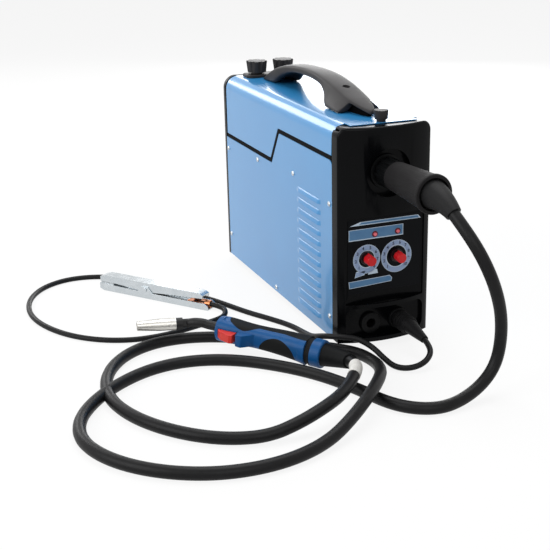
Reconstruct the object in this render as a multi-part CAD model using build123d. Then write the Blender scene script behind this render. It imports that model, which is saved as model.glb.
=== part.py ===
"""Compact MIG welder with its torch and earth lead. Millimetres, +Z up, front towards -Y.

The origin is on the floor under the middle of the casing.
"""
import math
import os

from build123d import *

os.makedirs("parts", exist_ok=True)

# ---------------------------------------------------------------- driving sizes
# Casing
CASE_LENGTH = 450.0
CASE_WIDTH = 140.0
CASE_HEIGHT = 315.0
FOOT_HEIGHT = 10.0
SHEET = 1.2
TOP_RADIUS = 20.0
CLEAR = 0.3

# Moulded end frames
FRONT_DEPTH = 18.0
FRONT_BOW = 16.0
FRONT_WALL = 3.0
REAR_DEPTH = 8.0
BEZEL_TOP_DROP = 1.6
FOOT_SCREW_RADIUS = 2.2

# Lid split, as heights and depths on the casing's side
LID_REAR_DROP = 93.0
LID_FRONT_DROP = 42.0
STEP_REAR = 17.6
STEP_FRONT = -14.4
STEP_CORNER = 4.0
PANEL_CORNER = 6.0
SEAL_THICK = 2.2
SEAL_HEIGHT = 6.0
LID_GAP = 6.8
HINGE_RADIUS = 2.4
HINGE_LENGTH = 94.0

# Louvres pressed into the side panels
LOUVRE_COUNT = 12
LOUVRE_PITCH = 15.4
LOUVRE_LENGTH = 84.0
LOUVRE_HEIGHT = 6.0
LOUVRE_BULGE = 3.2
LOUVRE_FIRST = 30.0
LOUVRE_MIDDLE = -126.0

# Control panel and sockets on the front
SPLIT_DROP = 123.0
PANEL_RECESS = 11.0
PANEL_HALF = 60.0
PANEL_BOTTOM = 66.0
LABEL_THICK = 0.5
KNOB_RADIUS = 9.5
KNOB_LENGTH = 20.0
SHAFT_RADIUS = 3.0
POWER_KNOB_X = -28.5
POWER_KNOB_DROP = 61.0
SPEED_KNOB_X = 17.5
SPEED_KNOB_DROP = 63.0
LED_PLACES = (-15.0, 20.0)
LED_DROP = 29.0
SOCKET_RADIUS = 15.0
SOCKET_BORE = 6.6
SOCKET_HEIGHT = 33.0
EARTH_X = 24.0
POSITIVE_X = -20.0
EURO_DROP = 65.0
EURO_RECESS_RADIUS = 33.0
EURO_FLANGE_RADIUS = 24.0

# Torch plug
NUT_RADIUS = 21.0
NUT_LENGTH = 28.0
SLEEVE_REAR_RADIUS = 20.0
SLEEVE_RIM_RADIUS = 25.0
SLEEVE_LENGTH = 100.0
RELIEF_RADIUS = 20.0
RELIEF_MIDDLE_RADIUS = 15.5
RELIEF_REACH = 48.0
RELIEF_DROOP = 12.0
HOSE_DIAMETER = 16.0

# Top handle
HANDLE_HALF = 20.0
HANDLE_FLARE = 38.0
HANDLE_BAND = 12.0
HANDLE_CLEARANCE = 27.0
HANDLE_SCREW_RADIUS = 4.2
HAND_KNOB_X = 23.0

# Wire feed compartment
WALL_X = 22.0
SHELF_DROP = 231.0
SPOOL_RADIUS = 100.0
SPOOL_WIDTH = 55.0
SPOOL_FROM_REAR = 125.0
SPOOL_LIFT = 8.0
SPOOL_X = -17.0
SPOOL_BORE = 25.5
SPOOL_CAP = 8.0
ROLL_RADIUS = 15.0
ROLL_WIDTH = 11.0
ROLL_GAP = 0.6
FEED_FROM_FRONT = 77.0

# Fan
FAN_SIZE = 80.0
FAN_DEPTH = 24.0
FAN_HEIGHT = 64.0
FAN_BLADES = 7

# Earth lead
CABLE_DIAMETER = 8.0
PLUG_RADIUS = 12.0
PLUG_LENGTH = 77.0

# Rear fittings
REAR_FITTING_DROP = 53.0
SWITCH_X = 26.0
GLAND_X = -28.0
REAR_GAS_DROP = 103.0
GAS_X = 36.0
GAS_TAIL_RADIUS = 4.0
GAS_TAIL_LENGTH = 20.0

# Torch, between the middle of its nose and the middle of its tail
TORCH_FRONT = Vector(-214, -148, 30)
TORCH_REAR = Vector(-112, -273, 19.9)
GRIP_CORE = 13.0
TRIGGER_PIN = (-9.5, -12.5)
NECK_BEND = 42.0
NECK_RADIUS = 6.5
NECK_CURVE = 34.0
NECK_STRAIGHT = 20.0
NOZZLE_LENGTH = 54.0

# Earth clamp, between the ends of its handle and its jaw
CLAMP_HANDLE = Vector(-178, 2, 4)
CLAMP_JAW = Vector(-303, 166, 4)
CLAMP_HALF = 11.0
CLAMP_WALL = 1.6
CLAMP_PIVOT = 118.0
PIVOT_HEIGHT = 14.0

half_l = CASE_LENGTH / 2
half_w = CASE_WIDTH / 2
front_y = -half_l + FRONT_DEPTH
rear_y = half_l - REAR_DEPTH
inner_w = half_w - SHEET
panel_y = -half_l - FRONT_BOW + FRONT_BOW * 0.2 + PANEL_RECESS
bay_y = -half_l + 2.0
euro_y = -half_l - 3.0
nut_y = euro_y - 6.0
sleeve_y = nut_y - NUT_LENGTH
rim_y = sleeve_y - SLEEVE_LENGTH
lid_rear_edge = CASE_HEIGHT - LID_REAR_DROP
lid_front_edge = CASE_HEIGHT - LID_FRONT_DROP
split_height = CASE_HEIGHT - SPLIT_DROP
euro_height = CASE_HEIGHT - EURO_DROP
power_knob_at = (POWER_KNOB_X, split_height - POWER_KNOB_DROP)
speed_knob_at = (SPEED_KNOB_X, split_height - SPEED_KNOB_DROP)
led_height = split_height - LED_DROP
shelf_height = CASE_HEIGHT - SHELF_DROP
spool_y = rear_y - SPOOL_FROM_REAR
spool_z = shelf_height + SPOOL_RADIUS + SPOOL_LIFT
feed_y = front_y + FEED_FROM_FRONT
tray_top = FOOT_HEIGHT + SHEET
under_shelf = shelf_height - tray_top
relief_end = (0, rim_y - RELIEF_REACH, euro_height - RELIEF_DROOP)
plug_end_y = bay_y - PLUG_LENGTH
relief_start = (0, rim_y + 10, euro_height)
sleeve_gap = abs(sleeve_y - nut_y) - CLEAR
thumb_y = -half_l + 12.0
hinge_at = (0, rear_y - 2.6, CASE_HEIGHT - 2.8)
handle_reach = half_l - 37.0
handle_screw_y = handle_reach * -0.55
handle_rear_screw_y = handle_reach * 0.798
hand_knob_y = half_l - 33.0
switch_at = (SWITCH_X, CASE_HEIGHT - REAR_FITTING_DROP)
gland_at = (GLAND_X, CASE_HEIGHT - REAR_FITTING_DROP)
gas_at = (GAS_X, CASE_HEIGHT - REAR_GAS_DROP)
roll_z = euro_height - ROLL_RADIUS - ROLL_GAP
top_roll_z = euro_height + ROLL_RADIUS + ROLL_GAP
pivot_at = (feed_y + 34, euro_height + 19)
arm_x = (ROLL_WIDTH / 2 + 0.8, ROLL_WIDTH / 2 + 5.0)
handle_length = (TORCH_REAR - TORCH_FRONT).length
torch_axis = (TORCH_FRONT - TORCH_REAR).normalized()
torch_side = Vector(-torch_axis.Y, torch_axis.X, 0).normalized() * -1
torch_plane = Plane(origin=TORCH_FRONT, x_dir=torch_axis, z_dir=torch_side)
clamp_length = (CLAMP_JAW - CLAMP_HANDLE).length
clamp_axis = (CLAMP_JAW - CLAMP_HANDLE).normalized()
clamp_plane = Plane(origin=Vector(CLAMP_HANDLE.X, CLAMP_HANDLE.Y, 0), x_dir=clamp_axis,
                    z_dir=(0, 0, 1))
foot_places = [(x, y) for x in (-half_w + 20, half_w - 20) for y in (-half_l + 40, half_l - 40)]
side_screws = [
    (half_l - 17, lid_rear_edge - 25), (72, lid_rear_edge - 15), (-72, lid_front_edge - 55),
    (-half_l + 26, lid_front_edge - 68), (half_l - 17, 48), (4, 18), (-half_l + 26, 42),
]


# ---------------------------------------------------------------- helpers
def write(shape, name):
    """Save one named sub-part."""
    shape.label = name
    export_step(shape, f"parts/{name}.step")


def along_x(radius, length, at, inner=0.0):
    """A round bar or tube lying along X, centred on at."""
    ring = Circle(radius) - Circle(inner) if inner else Circle(radius)
    return extrude(Plane(origin=at, z_dir=(1, 0, 0)) * ring, length / 2, both=True)


def along_y(radius, length, at, inner=0.0):
    """A round bar or tube that starts at at and runs towards the front."""
    ring = Circle(radius) - Circle(inner) if inner else Circle(radius)
    return extrude(Plane(origin=at, z_dir=(0, -1, 0)) * ring, length)


def upright(radius, length, at, inner=0.0):
    """A round bar or tube that stands on at."""
    ring = Circle(radius) - Circle(inner) if inner else Circle(radius)
    return extrude(Plane(origin=at) * ring, length)


def box(x0, x1, y0, y1, z0, z1):
    """A block between two opposite corners."""
    size = (x1 - x0, y1 - y0, z1 - z0)
    return Pos((x0 + x1) / 2, (y0 + y1) / 2, (z0 + z1) / 2) * Box(*size)


def side_plate(points, x0, x1):
    """A flat plate in the YZ plane between two X values, from (y, z) points."""
    outline = Polyline(*[(y, z) for y, z in points], close=True)
    plane = Plane(origin=(x0, 0, 0), x_dir=(0, 1, 0), z_dir=(1, 0, 0))
    return extrude(plane * make_face(outline), x1 - x0)


def solids_of(shapes):
    """Several separate solids as one sub-part."""
    return Compound(children=[s for shape in shapes for s in shape.solids()])


def casing_section(inset, z0):
    """The casing's cross-section: square at the bottom, round at the top corners."""
    w = half_w - inset
    top = CASE_HEIGHT - inset
    r = TOP_RADIUS - inset
    return make_face(
        Line((-w, z0), (-w, top - r))
        + RadiusArc((-w, top - r), (-w + r, top), r)
        + Line((-w + r, top), (w - r, top))
        + RadiusArc((w - r, top), (w, top - r), r)
        + Line((w, top - r), (w, z0))
        + Line((w, z0), (-w, z0))
    )


def casing_prism(inset, y0, y1, z0):
    """The casing's section run along its length from y0 to y1."""
    plane = Plane(origin=(0, y1, 0), x_dir=(1, 0, 0), z_dir=(0, -1, 0))
    return extrude(plane * casing_section(inset, z0), y1 - y0)


def bowed_plan(inset, back):
    """The front moulding's plan: flat sides and a face bowed forward."""
    w = half_w - inset
    corner = -half_l + inset
    middle = -half_l - FRONT_BOW + inset
    return make_face(
        Line((-w, back), (-w, corner))
        + ThreePointArc((-w, corner), (0, middle), (w, corner))
        + Line((w, corner), (w, back))
        + Line((w, back), (-w, back))
    )


def fluted_knob(radius, height, flutes, depth):
    """A moulded hand knob with scalloped sides, standing on z = 0."""
    body = Pos(0, 0, height / 2) * Cone(radius * 0.88, radius, height)
    for n in range(flutes):
        angle = 360.0 / flutes * n
        cut = Rot(0, 0, angle) * Pos(radius + depth * 0.9, 0, height / 2)
        body -= cut * Cylinder(depth * 1.9, height + 2)
    top = body.edges().group_by(Axis.Z)[-1]
    return fillet(top, 0.6)


# ---------------------------------------------------------------- casing
def base_tray():
    """Bent steel tray that carries everything, with upturned sides."""
    floor = box(-inner_w, inner_w, front_y, rear_y, FOOT_HEIGHT, FOOT_HEIGHT + SHEET)
    lip = 12.0
    for side in (-1, 1):
        x0 = side * (inner_w - SHEET)
        x1 = side * inner_w
        edge = box(min(x0, x1), max(x0, x1), front_y, rear_y, FOOT_HEIGHT, FOOT_HEIGHT + lip)
        floor += edge
    for n in range(8):
        y = -70.0 + 20.0 * n
        floor -= Pos(0, y, FOOT_HEIGHT) * Box(70, 5, 10)
    for x, y in foot_places:
        floor -= upright(FOOT_SCREW_RADIUS, 10, (x, y, FOOT_HEIGHT - 5))
    return floor


def rubber_feet():
    """Four round rubber feet, bored through for the screw that fixes each."""
    feet = []
    for x, y in foot_places:
        foot = Pos(x, y, FOOT_HEIGHT / 2) * Cone(9, 11, FOOT_HEIGHT)
        feet.append(foot - upright(FOOT_SCREW_RADIUS, FOOT_HEIGHT + 2, (x, y, -1)))
    return solids_of(feet)


def stepped_edge(rear, front, drop, front_corner=0.0):
    """The lid's stepped lower edge as a line with rounded corners, rear to front."""
    high = lid_front_edge + drop
    points = [(rear, lid_rear_edge + drop), (STEP_REAR, lid_rear_edge + drop),
              (STEP_FRONT, high), (front + front_corner, high)]
    if front_corner:
        points.append((front, high - front_corner))
        points.append((front, high - 3 * front_corner))
    return FilletPolyline(*points, radius=STEP_CORNER)


def between_edges(upper, lower, x0, x1):
    """A flat plate in the YZ plane between two X values, from two lines closed at their ends."""
    outline = upper + Line(upper @ 1, lower @ 1) + lower + Line(lower @ 0, upper @ 0)
    plane = Plane(origin=(x0, 0, 0), x_dir=(0, 1, 0), z_dir=(1, 0, 0))
    return extrude(plane * make_face(outline), x1 - x0)


def louvre(z, side):
    """One pressed louvre: a half-round hood, open on its lower side."""
    hood = Plane(origin=(side * half_w, LOUVRE_MIDDLE, z)) * Box(
        2 * LOUVRE_BULGE, LOUVRE_LENGTH, LOUVRE_HEIGHT
    )
    ends = hood.edges().filter_by(Axis.Z)
    hood = chamfer(ends, LOUVRE_BULGE * 0.9)
    outer_top = hood.edges().filter_by(Axis.Y).sort_by(Axis.Z)[-2:]
    return chamfer(outer_top, LOUVRE_BULGE * 0.8)


def side_panel(side):
    """Steel side with the lid's stepped edge cut out and twelve louvres."""
    outer = side * half_w
    inner = side * inner_w
    bottom = FOOT_HEIGHT + CLEAR
    panel = between_edges(stepped_edge(rear_y, front_y, -LID_GAP, PANEL_CORNER),
                          Line((rear_y, bottom), (front_y, bottom)),
                          min(outer, inner), max(outer, inner))
    for n in range(LOUVRE_COUNT):
        z = LOUVRE_FIRST + LOUVRE_PITCH * n
        hood = louvre(z, side)
        inside = Pos(-side * SHEET, 0, -SHEET) * hood
        panel += hood & box(*sorted((inner, outer + side * 9)), -half_l, half_l, 0, 300)
        panel -= inside
    return panel


def lid_swing(inset):
    """The drum that the lid's front edge sweeps about its hinge, clear of the front frame."""
    reach = hinge_at[1] - front_y - CLEAR - inset
    return along_x(reach, CASE_WIDTH + 20, hinge_at)


def lid():
    """Top cover: crowned skin, deep rear flaps, shallow front flaps, front tongue."""
    lid_rear = rear_y - 5.0
    shell = casing_prism(0, front_y + CLEAR, lid_rear, lid_rear_edge)
    shell -= casing_prism(SHEET, front_y - 1, lid_rear + 1, lid_rear_edge - 1)
    below = lid_rear_edge - 5
    shell -= between_edges(stepped_edge(rear_y + 5, front_y - 5, 0),
                           Line((rear_y + 5, below), (front_y - 5, below)),
                           -half_w - 5, half_w + 5)
    shell &= lid_swing(0.0)
    tongue = box(-half_w + TOP_RADIUS, half_w - TOP_RADIUS, -half_l + 3, front_y + 1,
                 CASE_HEIGHT - SHEET, CASE_HEIGHT)
    shell += tongue
    shell -= upright(3.2, 10, (0, thumb_y, CASE_HEIGHT - 5))
    return shell


def lid_edge_seal():
    """Black rubber edging pushed on to the lid's stepped edges, both sides."""
    strips = []
    for side in (-1, 1):
        upper = stepped_edge(rear_y - 6, front_y + 1, -CLEAR)
        lower = stepped_edge(rear_y - 6, front_y + 1, -CLEAR - SEAL_HEIGHT)
        x0 = side * (half_w + 0.4)
        x1 = side * (half_w + 0.4 - SEAL_THICK)
        strip = between_edges(upper, lower, min(x0, x1), max(x0, x1))
        strips.append(strip & lid_swing(0.0))
    return solids_of(strips)


def hinge_fixed_leaf():
    """Hinge half on the rear frame: outer knuckles, leaf and pin."""
    y, z = hinge_at[1], hinge_at[2]
    away = HINGE_LENGTH / 2 - 11
    knuckles = along_x(HINGE_RADIUS, 22, (-away, y, z)) + along_x(HINGE_RADIUS, 22, (away, y, z))
    half = HINGE_LENGTH / 2
    pin = along_x(1.2, HINGE_LENGTH, hinge_at)
    leaf = box(-half, half, y + 1.2, y + 2.4, z - 22, z - 3.4)
    for side in (-1, 1):
        ends = sorted((side * (half - 22), side * half))
        leaf += box(*ends, y + 0.9, y + 2.4, z - 4, z)
    return knuckles + pin + leaf


def hinge_lid_leaf():
    """Hinge half under the lid: the middle knuckle and its leaf."""
    y, z = hinge_at[1], hinge_at[2]
    half = HINGE_LENGTH / 2 - 22.3
    knuckle = along_x(HINGE_RADIUS, 2 * half, (0, y, z), 1.25)
    leaf = box(-half, half, y - 20, y - 1.6, CASE_HEIGHT - 2 * SHEET, CASE_HEIGHT - SHEET)
    return knuckle + leaf


def thumb_screw():
    """Knurled thumb screw that holds the lid's tongue to the front frame."""
    head = Pos(0, 0, 3) * fluted_knob(10, 12, 14, 0.8)
    collar = upright(6.5, 3, (0, 0, 0))
    shank = upright(2.5, 9, (0, 0, -9))
    return Pos(0, thumb_y, CASE_HEIGHT + CLEAR) * (head + collar + shank)


def front_bezel():
    """Moulded front: bowed hood above, recessed control panel and socket bay below."""
    top = CASE_HEIGHT - BEZEL_TOP_DROP
    body = extrude(Pos(0, 0, FOOT_HEIGHT) * bowed_plan(0, front_y), top - FOOT_HEIGHT)
    corners = [e for e in body.edges().filter_by(GeomType.LINE).filter_by(Axis.Y)
               if e.center().Z > top - 1]
    body = fillet(corners, TOP_RADIUS - 6)
    body = fillet(body.edges().filter_by(Axis.Z).sort_by(Axis.Y)[:2], 4.0)
    cavity = extrude(
        Pos(0, 0, FOOT_HEIGHT + FRONT_WALL) * bowed_plan(FRONT_WALL, front_y + 1),
        top - FOOT_HEIGHT - 2 * FRONT_WALL,
    )
    body -= cavity
    # Recessed control panel with its own back wall
    deep = panel_y + FRONT_WALL
    frame = box(-PANEL_HALF, PANEL_HALF, -half_l - 30, panel_y, PANEL_BOTTOM, split_height)
    body += box(-PANEL_HALF - 3, PANEL_HALF + 3, panel_y - 2, deep, PANEL_BOTTOM - 3,
                split_height + 3) & extrude(
        Pos(0, 0, FOOT_HEIGHT) * bowed_plan(0, front_y), top - FOOT_HEIGHT)
    body -= frame
    # Socket bay with a rounded mouth
    bay = box(-PANEL_HALF, PANEL_HALF, -half_l - 30, bay_y, FOOT_HEIGHT + 6, PANEL_BOTTOM - 6)
    bay = fillet(bay.edges().filter_by(Axis.Y), 12)
    back = box(-PANEL_HALF - 3, PANEL_HALF + 3, bay_y - 1, bay_y + FRONT_WALL,
               FOOT_HEIGHT + 3, PANEL_BOTTOM - 3)
    body += back & extrude(
        Pos(0, 0, FOOT_HEIGHT) * bowed_plan(0, front_y), top - FOOT_HEIGHT)
    body -= bay
    # Round recess behind the torch plug
    recess = along_y(EURO_RECESS_RADIUS, 40, (0, euro_y, euro_height))
    body += along_y(EURO_RECESS_RADIUS + 3, 18, (0, euro_y + FRONT_WALL, euro_height)) & extrude(
        Pos(0, 0, FOOT_HEIGHT) * bowed_plan(0.5, front_y), top - FOOT_HEIGHT)
    body -= recess
    # Holes for what passes through
    body -= along_y(EURO_FLANGE_RADIUS - 6, 20, (0, euro_y + 10, euro_height))
    for x in (EARTH_X, POSITIVE_X):
        body -= along_y(SOCKET_RADIUS - 3, 12, (x, bay_y + 6, SOCKET_HEIGHT))
    for x, z in (power_knob_at, speed_knob_at):
        body -= along_y(SHAFT_RADIUS + 0.8, 20, (x, panel_y + 10, z))
    body -= upright(3.2, 20, (0, thumb_y, top - 12))
    return body


def control_label():
    """Plain printed film on the control panel."""
    film = box(-56, 56, panel_y - LABEL_THICK, panel_y, PANEL_BOTTOM + 14, split_height - 6)
    for x, z in (power_knob_at, speed_knob_at):
        film -= along_y(SHAFT_RADIUS + 0.8, 4, (x, panel_y + 1, z))
    for x in LED_PLACES:
        film -= along_y(2.7, 4, (x, panel_y + 1, led_height))
    return film


def led_lenses():
    """Two red indicator lenses."""
    lenses = []
    for x in LED_PLACES:
        lens = along_y(2.5, 3.0, (x, panel_y, led_height))
        lenses.append(fillet(lens.edges().sort_by(Axis.Y)[0], 0.8))
    return solids_of(lenses)


def panel_knob(place):
    """Potentiometer knob: skirt, slim grip, D-shaft through the panel."""
    x, z = place
    y = panel_y - LABEL_THICK - CLEAR
    skirt = along_y(KNOB_RADIUS, 4.5, (x, y, z))
    grip = along_y(KNOB_RADIUS - 2.6, KNOB_LENGTH - 4.5, (x, y - 4.5, z))
    grip = fillet(grip.edges().sort_by(Axis.Y)[0], 1.5)
    pointer = box(x - 0.8, x + 0.8, y - KNOB_LENGTH + 1.6, y - 4.5, z, z + KNOB_RADIUS - 1.2)
    shaft = along_y(SHAFT_RADIUS, 8.5, (x, y + 8.5, z))
    return skirt + grip + pointer + shaft


def potentiometers():
    """The two potentiometer bodies behind the control panel."""
    cans = []
    for x, z in (power_knob_at, speed_knob_at):
        can = along_y(8.0, 5.0, (x, panel_y + 8.0 + FRONT_WALL - 2.9, z), SHAFT_RADIUS + 0.05)
        cans.append(can)
    return solids_of(cans)


def dinse_socket(x):
    """Round twist-lock current socket: insulating body with a brass bore."""
    flange = along_y(SOCKET_RADIUS, 5, (x, bay_y, SOCKET_HEIGHT), SOCKET_BORE)
    neck = along_y(SOCKET_RADIUS - 3.3, 9, (x, bay_y + 9, SOCKET_HEIGHT), SOCKET_BORE)
    tail = along_y(SOCKET_RADIUS - 3.3, 16, (x, bay_y + 25, SOCKET_HEIGHT), SOCKET_BORE)
    back = along_y(SOCKET_RADIUS - 3.3, 2, (x, bay_y + 27, SOCKET_HEIGHT))
    return fillet((flange + neck + tail + back).edges().sort_by(Axis.Y)[:1], 0.8)


def euro_socket():
    """Central adaptor: flange, threaded snout and wire guide bore."""
    flange = along_y(EURO_FLANGE_RADIUS, 4, (0, euro_y, euro_height), 3.0)
    snout = along_y(16, 14, (0, euro_y - 4, euro_height), 3.0)
    tail = along_y(EURO_FLANGE_RADIUS - 6.4, 12, (0, euro_y + 12, euro_height), 3.0)
    return flange + snout + tail


# ---------------------------------------------------------------- torch plug


def euro_plug_nut():
    """Ribbed union nut that pulls the torch plug on to the socket."""
    nut = along_y(NUT_RADIUS - 2, sleeve_gap, (0, nut_y, euro_height), 16.6)
    for n in range(12):
        turn = Pos(0, nut_y - sleeve_gap / 2, euro_height) * Rot(0, 30.0 * n, 0)
        nut += turn * Pos(NUT_RADIUS - 2, 0, 0) * Box(3.4, sleeve_gap, 4)
    return nut


def plug_sleeve():
    """Long tapered rubber sleeve with a rolled rim."""
    middle = (0, sleeve_y, euro_height)
    outer = Plane(origin=middle, z_dir=(0, -1, 0)) * Pos(0, 0, SLEEVE_LENGTH / 2) * Cone(
        SLEEVE_REAR_RADIUS, SLEEVE_RIM_RADIUS, SLEEVE_LENGTH)
    bead = along_y(SLEEVE_RIM_RADIUS + 1.2, 7, (0, rim_y + 7, euro_height))
    outer = outer + fillet(bead.edges(), 2.2)
    mouth = along_y(SLEEVE_RIM_RADIUS - 3.5, 12, (0, rim_y + 10, euro_height))
    core = along_y(15.0, 25.0, (0, sleeve_y + 15.6, euro_height), 3.0)
    return outer - mouth + core


def hose_relief():
    """Drooping tapered strain relief between the sleeve and the hose."""
    sections = [
        Plane(origin=relief_start, z_dir=(0, -1, 0)) * Circle(RELIEF_RADIUS),
        Plane(origin=(0, rim_y - 18, euro_height - 2), z_dir=(0, -1, -0.16))
        * Circle(RELIEF_MIDDLE_RADIUS),
        Plane(origin=relief_end, z_dir=Vector(*HOSE_ROUTE[1]) - Vector(*relief_end))
        * Circle(10.5),
    ]
    return loft(sections)


def ahead(distance):
    """A Y value so far in front of the casing's end."""
    return -half_l - distance


# Torch hose from the relief to the torch's rear: over the floor in two open loops
HOSE_ROUTE = [
    relief_end,
    (6, ahead(211), 0.920 * relief_end[2]),
    (20, ahead(227), 0.790 * relief_end[2]),
    (37, ahead(229), 0.630 * relief_end[2]),
    (52, ahead(221), 0.462 * relief_end[2]),
    (58, ahead(213), 0.290 * relief_end[2]),
    (51, ahead(213), 0.164 * relief_end[2]),
    (29, ahead(218), 19),
    (-5, -453, 9.5),
    (-38, -459, 8),
    (-68, -446, 8),
    (-90, -418, 8),
    (-104, -374, 8),
    (-124, -324, 8),
    (-148, -284, 8),
    (-180, -246, 8),
    (-214, -216, 8),
    (-252, -196, 8),
    (-294, -189, 8),
    (-338, -198, 8),
    (-382, -224, 8),
    (-420, -260, 8),
    (-448, -304, 8),
    (-457, -352, 8),
    (-446, -398, 8),
    (-420, -440, 8),
    (-382, -474, 8),
    (-338, -496, 8),
    (-290, -504, 8),
    (-242, -498, 8),
    (-196, -480, 10),
    (-156, -456, 20),
    (-118, -424, 28),
    (-84, -384, 28),
    (-62, -342, 18),
    (-50, -300, 9),
    (-56, -262, 8),
    (-82, -232, 8),
    (-114, -204, 8),
    (-146, -174, 8),
    (-180, -146, 8),
    (-216, -124, 8),
    (-256, -110, 8),
    (-300, -110, 8),
    (-342, -130, 8),
    (-374, -166, 8),
    (-394, -212, 8),
    (-400, -262, 8),
    (-390, -312, 8),
    (-368, -358, 8),
    (-336, -398, 8),
    (-298, -426, 8),
    (-256, -441, 10),
    (-216, -440, 19),
    (-178, -429, 27),
    (-150, -410, 28),
    (-124, -382, 28),
    (-99, -347, 28),
    (-91.5, -323, 23),
    (-90, -307, 19.5),
]

# Earth cable from the plug, past the casing's corner, round to the clamp
CABLE_ROUTE = [
    (EARTH_X + 2, plug_end_y, 27),
    (EARTH_X + 2, plug_end_y - 18, 22),
    (15, ahead(108), 15),
    (-2, ahead(113), 9),
    (-19, ahead(108), 6),
    (-31, ahead(95), 6),
    (-35, ahead(73), 10),
    (-41, ahead(51), 19),
    (-56, ahead(33), 28),
    (-79, ahead(22), 30),
    (-94, ahead(1), 26),
    (-95, -194, 13),
    (-92, -160, 5),
    (-98, -122, 4),
    (-116, -84, 4),
    (-137, -46, 4),
    (-152, -10, 4),
    (-168, 28, 4),
    (-190, 66, 4),
    (-214, 104, 4),
    (-240, 146, 4),
    (-270, 188, 4),
    (-308, 213, 4),
    (-352, 218, 4),
    (-392, 198, 4),
    (-420, 160, 4),
    (-434, 112, 4),
    (-434, 62, 4),
    (-420, 14, 4),
    (-396, -28, 4),
    (-362, -60, 4),
    (-322, -78, 4),
    (-284, -80, 4),
    (-248, -73, 4),
    (-213, -62, 4),
    (-179, -50.5, 4),
    (-166.5, -32.5, 5),
    (-166.5, -13, 6.4),
    (-178, 2, 7.2),
]


# ---------------------------------------------------------------- lid fittings
def carry_handle():
    """Moulded carry handle: rear foot, arched band, front leg and hooded nose."""
    base = CASE_HEIGHT
    scale = handle_reach / 188
    under = base + HANDLE_CLEARANCE
    over = under + HANDLE_BAND
    outer = Spline(*[(scale * y, z) for y, z in (
        (168, base), (132, base + 20), (84, over - 4), (28, over), (-34, over + 1),
        (-104, over - 9), (-155, over - 23), (-188, base + 8))])
    hood = Spline(*[(scale * y, z) for y, z in (
        (-184, base + 4.5), (-160, base + 11), (-134, base + 15))])
    inner = Spline(*[(scale * y, z) for y, z in (
        (-88, base), (-77, base + 15), (-52, under - 3), (0, under), (50, under - 1),
        (88, under - 10), (116, base))])
    nose = Line(outer @ 1, hood @ 0)
    leg = Line(hood @ 1, (scale * -134, base)) + Line((scale * -134, base), inner @ 0)
    side = make_face(outer + nose + hood + leg + inner + Line(inner @ 1, outer @ 0))
    plane = Plane(origin=(0, 0, 0), x_dir=(0, 1, 0), z_dir=(1, 0, 0))
    band = extrude(plane * side, HANDLE_HALF + 10, both=True)
    flank = Spline(*[(scale * y, x) for y, x in (
        (190, 23), (110, 24), (30, HANDLE_HALF - 4), (-60, HANDLE_HALF + 1),
        (-130, HANDLE_HALF + 6), (-178, 15))])
    tip = Spline(*[(scale * y, x) for y, x in ((-178, 15), (-188, 0), (-178, -15))])
    other = mirror(flank, Plane.XZ)
    close = Line((scale * 190, -23), (scale * 190, 23))
    plan = make_face(flank + tip + other + close)
    turned = Plane(origin=(0, 0, base - 1), x_dir=(0, 1, 0), z_dir=(0, 0, 1))
    footprint = extrude(turned * plan, 60)
    body = band & footprint
    for side in (-1, 1):
        section = Polyline(*[(side * x, z) for x, z in (
            (14, base), (HANDLE_FLARE, base), (HANDLE_FLARE, base + 3),
            (HANDLE_HALF + 4, base + 20), (14, base + 20))], close=True)
        flare = Plane(origin=(0, scale * -90, 0), x_dir=(1, 0, 0), z_dir=(0, -1, 0))
        leg_block = extrude(flare * make_face(section), scale * 44)
        body += fillet(leg_block.edges().filter_by(Axis.Z), 2.5)
    body -= upright(HANDLE_SCREW_RADIUS + 0.4, 40, (0, handle_screw_y, base + HANDLE_CLEARANCE - 4))
    return body - upright(HANDLE_SCREW_RADIUS + 0.4, 40, (0, handle_rear_screw_y, base + 5))


def handle_screws():
    """Two cross-head screws that hold the handle, one sunk in its nose."""
    z = CASE_HEIGHT + HANDLE_CLEARANCE - 4
    head = upright(HANDLE_SCREW_RADIUS, 3.0, (0, handle_screw_y, z))
    rear = upright(HANDLE_SCREW_RADIUS, 2.0, (0, handle_rear_screw_y, CASE_HEIGHT + 5))
    return solids_of([head, rear])


def knob_bracket():
    """Low moulded bracket on the lid with two studs."""
    y0, y1 = hand_knob_y - 16, hand_knob_y + 16
    plate = box(-44, 44, y0, y1, CASE_HEIGHT, CASE_HEIGHT + 5)
    plate = fillet(plate.edges().filter_by(Axis.Z), 8)
    plate = chamfer(plate.edges().group_by(Axis.Z)[-1], 1.2)
    for x in (-HAND_KNOB_X, HAND_KNOB_X):
        plate += upright(9, 2.4, (x, hand_knob_y, CASE_HEIGHT + 5))
        plate += upright(3, 18, (x, hand_knob_y, CASE_HEIGHT + 5))
    return plate


def hand_knob(x):
    """Fluted hand knob on one of the bracket's studs."""
    knob = fluted_knob(17, 18, 8, 2.6)
    knob -= Cylinder(3.05, 15.6, align=(Align.CENTER, Align.CENTER, Align.MIN))
    return Pos(x, hand_knob_y, CASE_HEIGHT + 7.4 + CLEAR) * knob


# ---------------------------------------------------------------- rear end


def rear_panel():
    """Moulded rear frame with the fan grille and the openings for the fittings."""
    plate = casing_prism(0, rear_y, half_l, FOOT_HEIGHT)
    plate -= casing_prism(4.0, half_l - 4, half_l + 1, FOOT_HEIGHT + 4)
    spacing = 8.0
    reach = FAN_SIZE / 2 - 4
    for n in range(-4, 5):
        half = math.sqrt(reach ** 2 - (n * spacing) ** 2)
        plate -= box(n * spacing - 2.2, n * spacing + 2.2, rear_y - 1, half_l + 1,
                     FAN_HEIGHT - half, FAN_HEIGHT + half)
    x, z = switch_at
    plate -= box(x - 11, x + 11, rear_y - 1, half_l + 1, z - 14, z + 14)
    x, z = gland_at
    plate -= along_y(8.1, 20, (x, half_l + 2, z))
    x, z = gas_at
    plate -= along_y(6.6, 20, (x, half_l + 2, z))
    return plate


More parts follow.
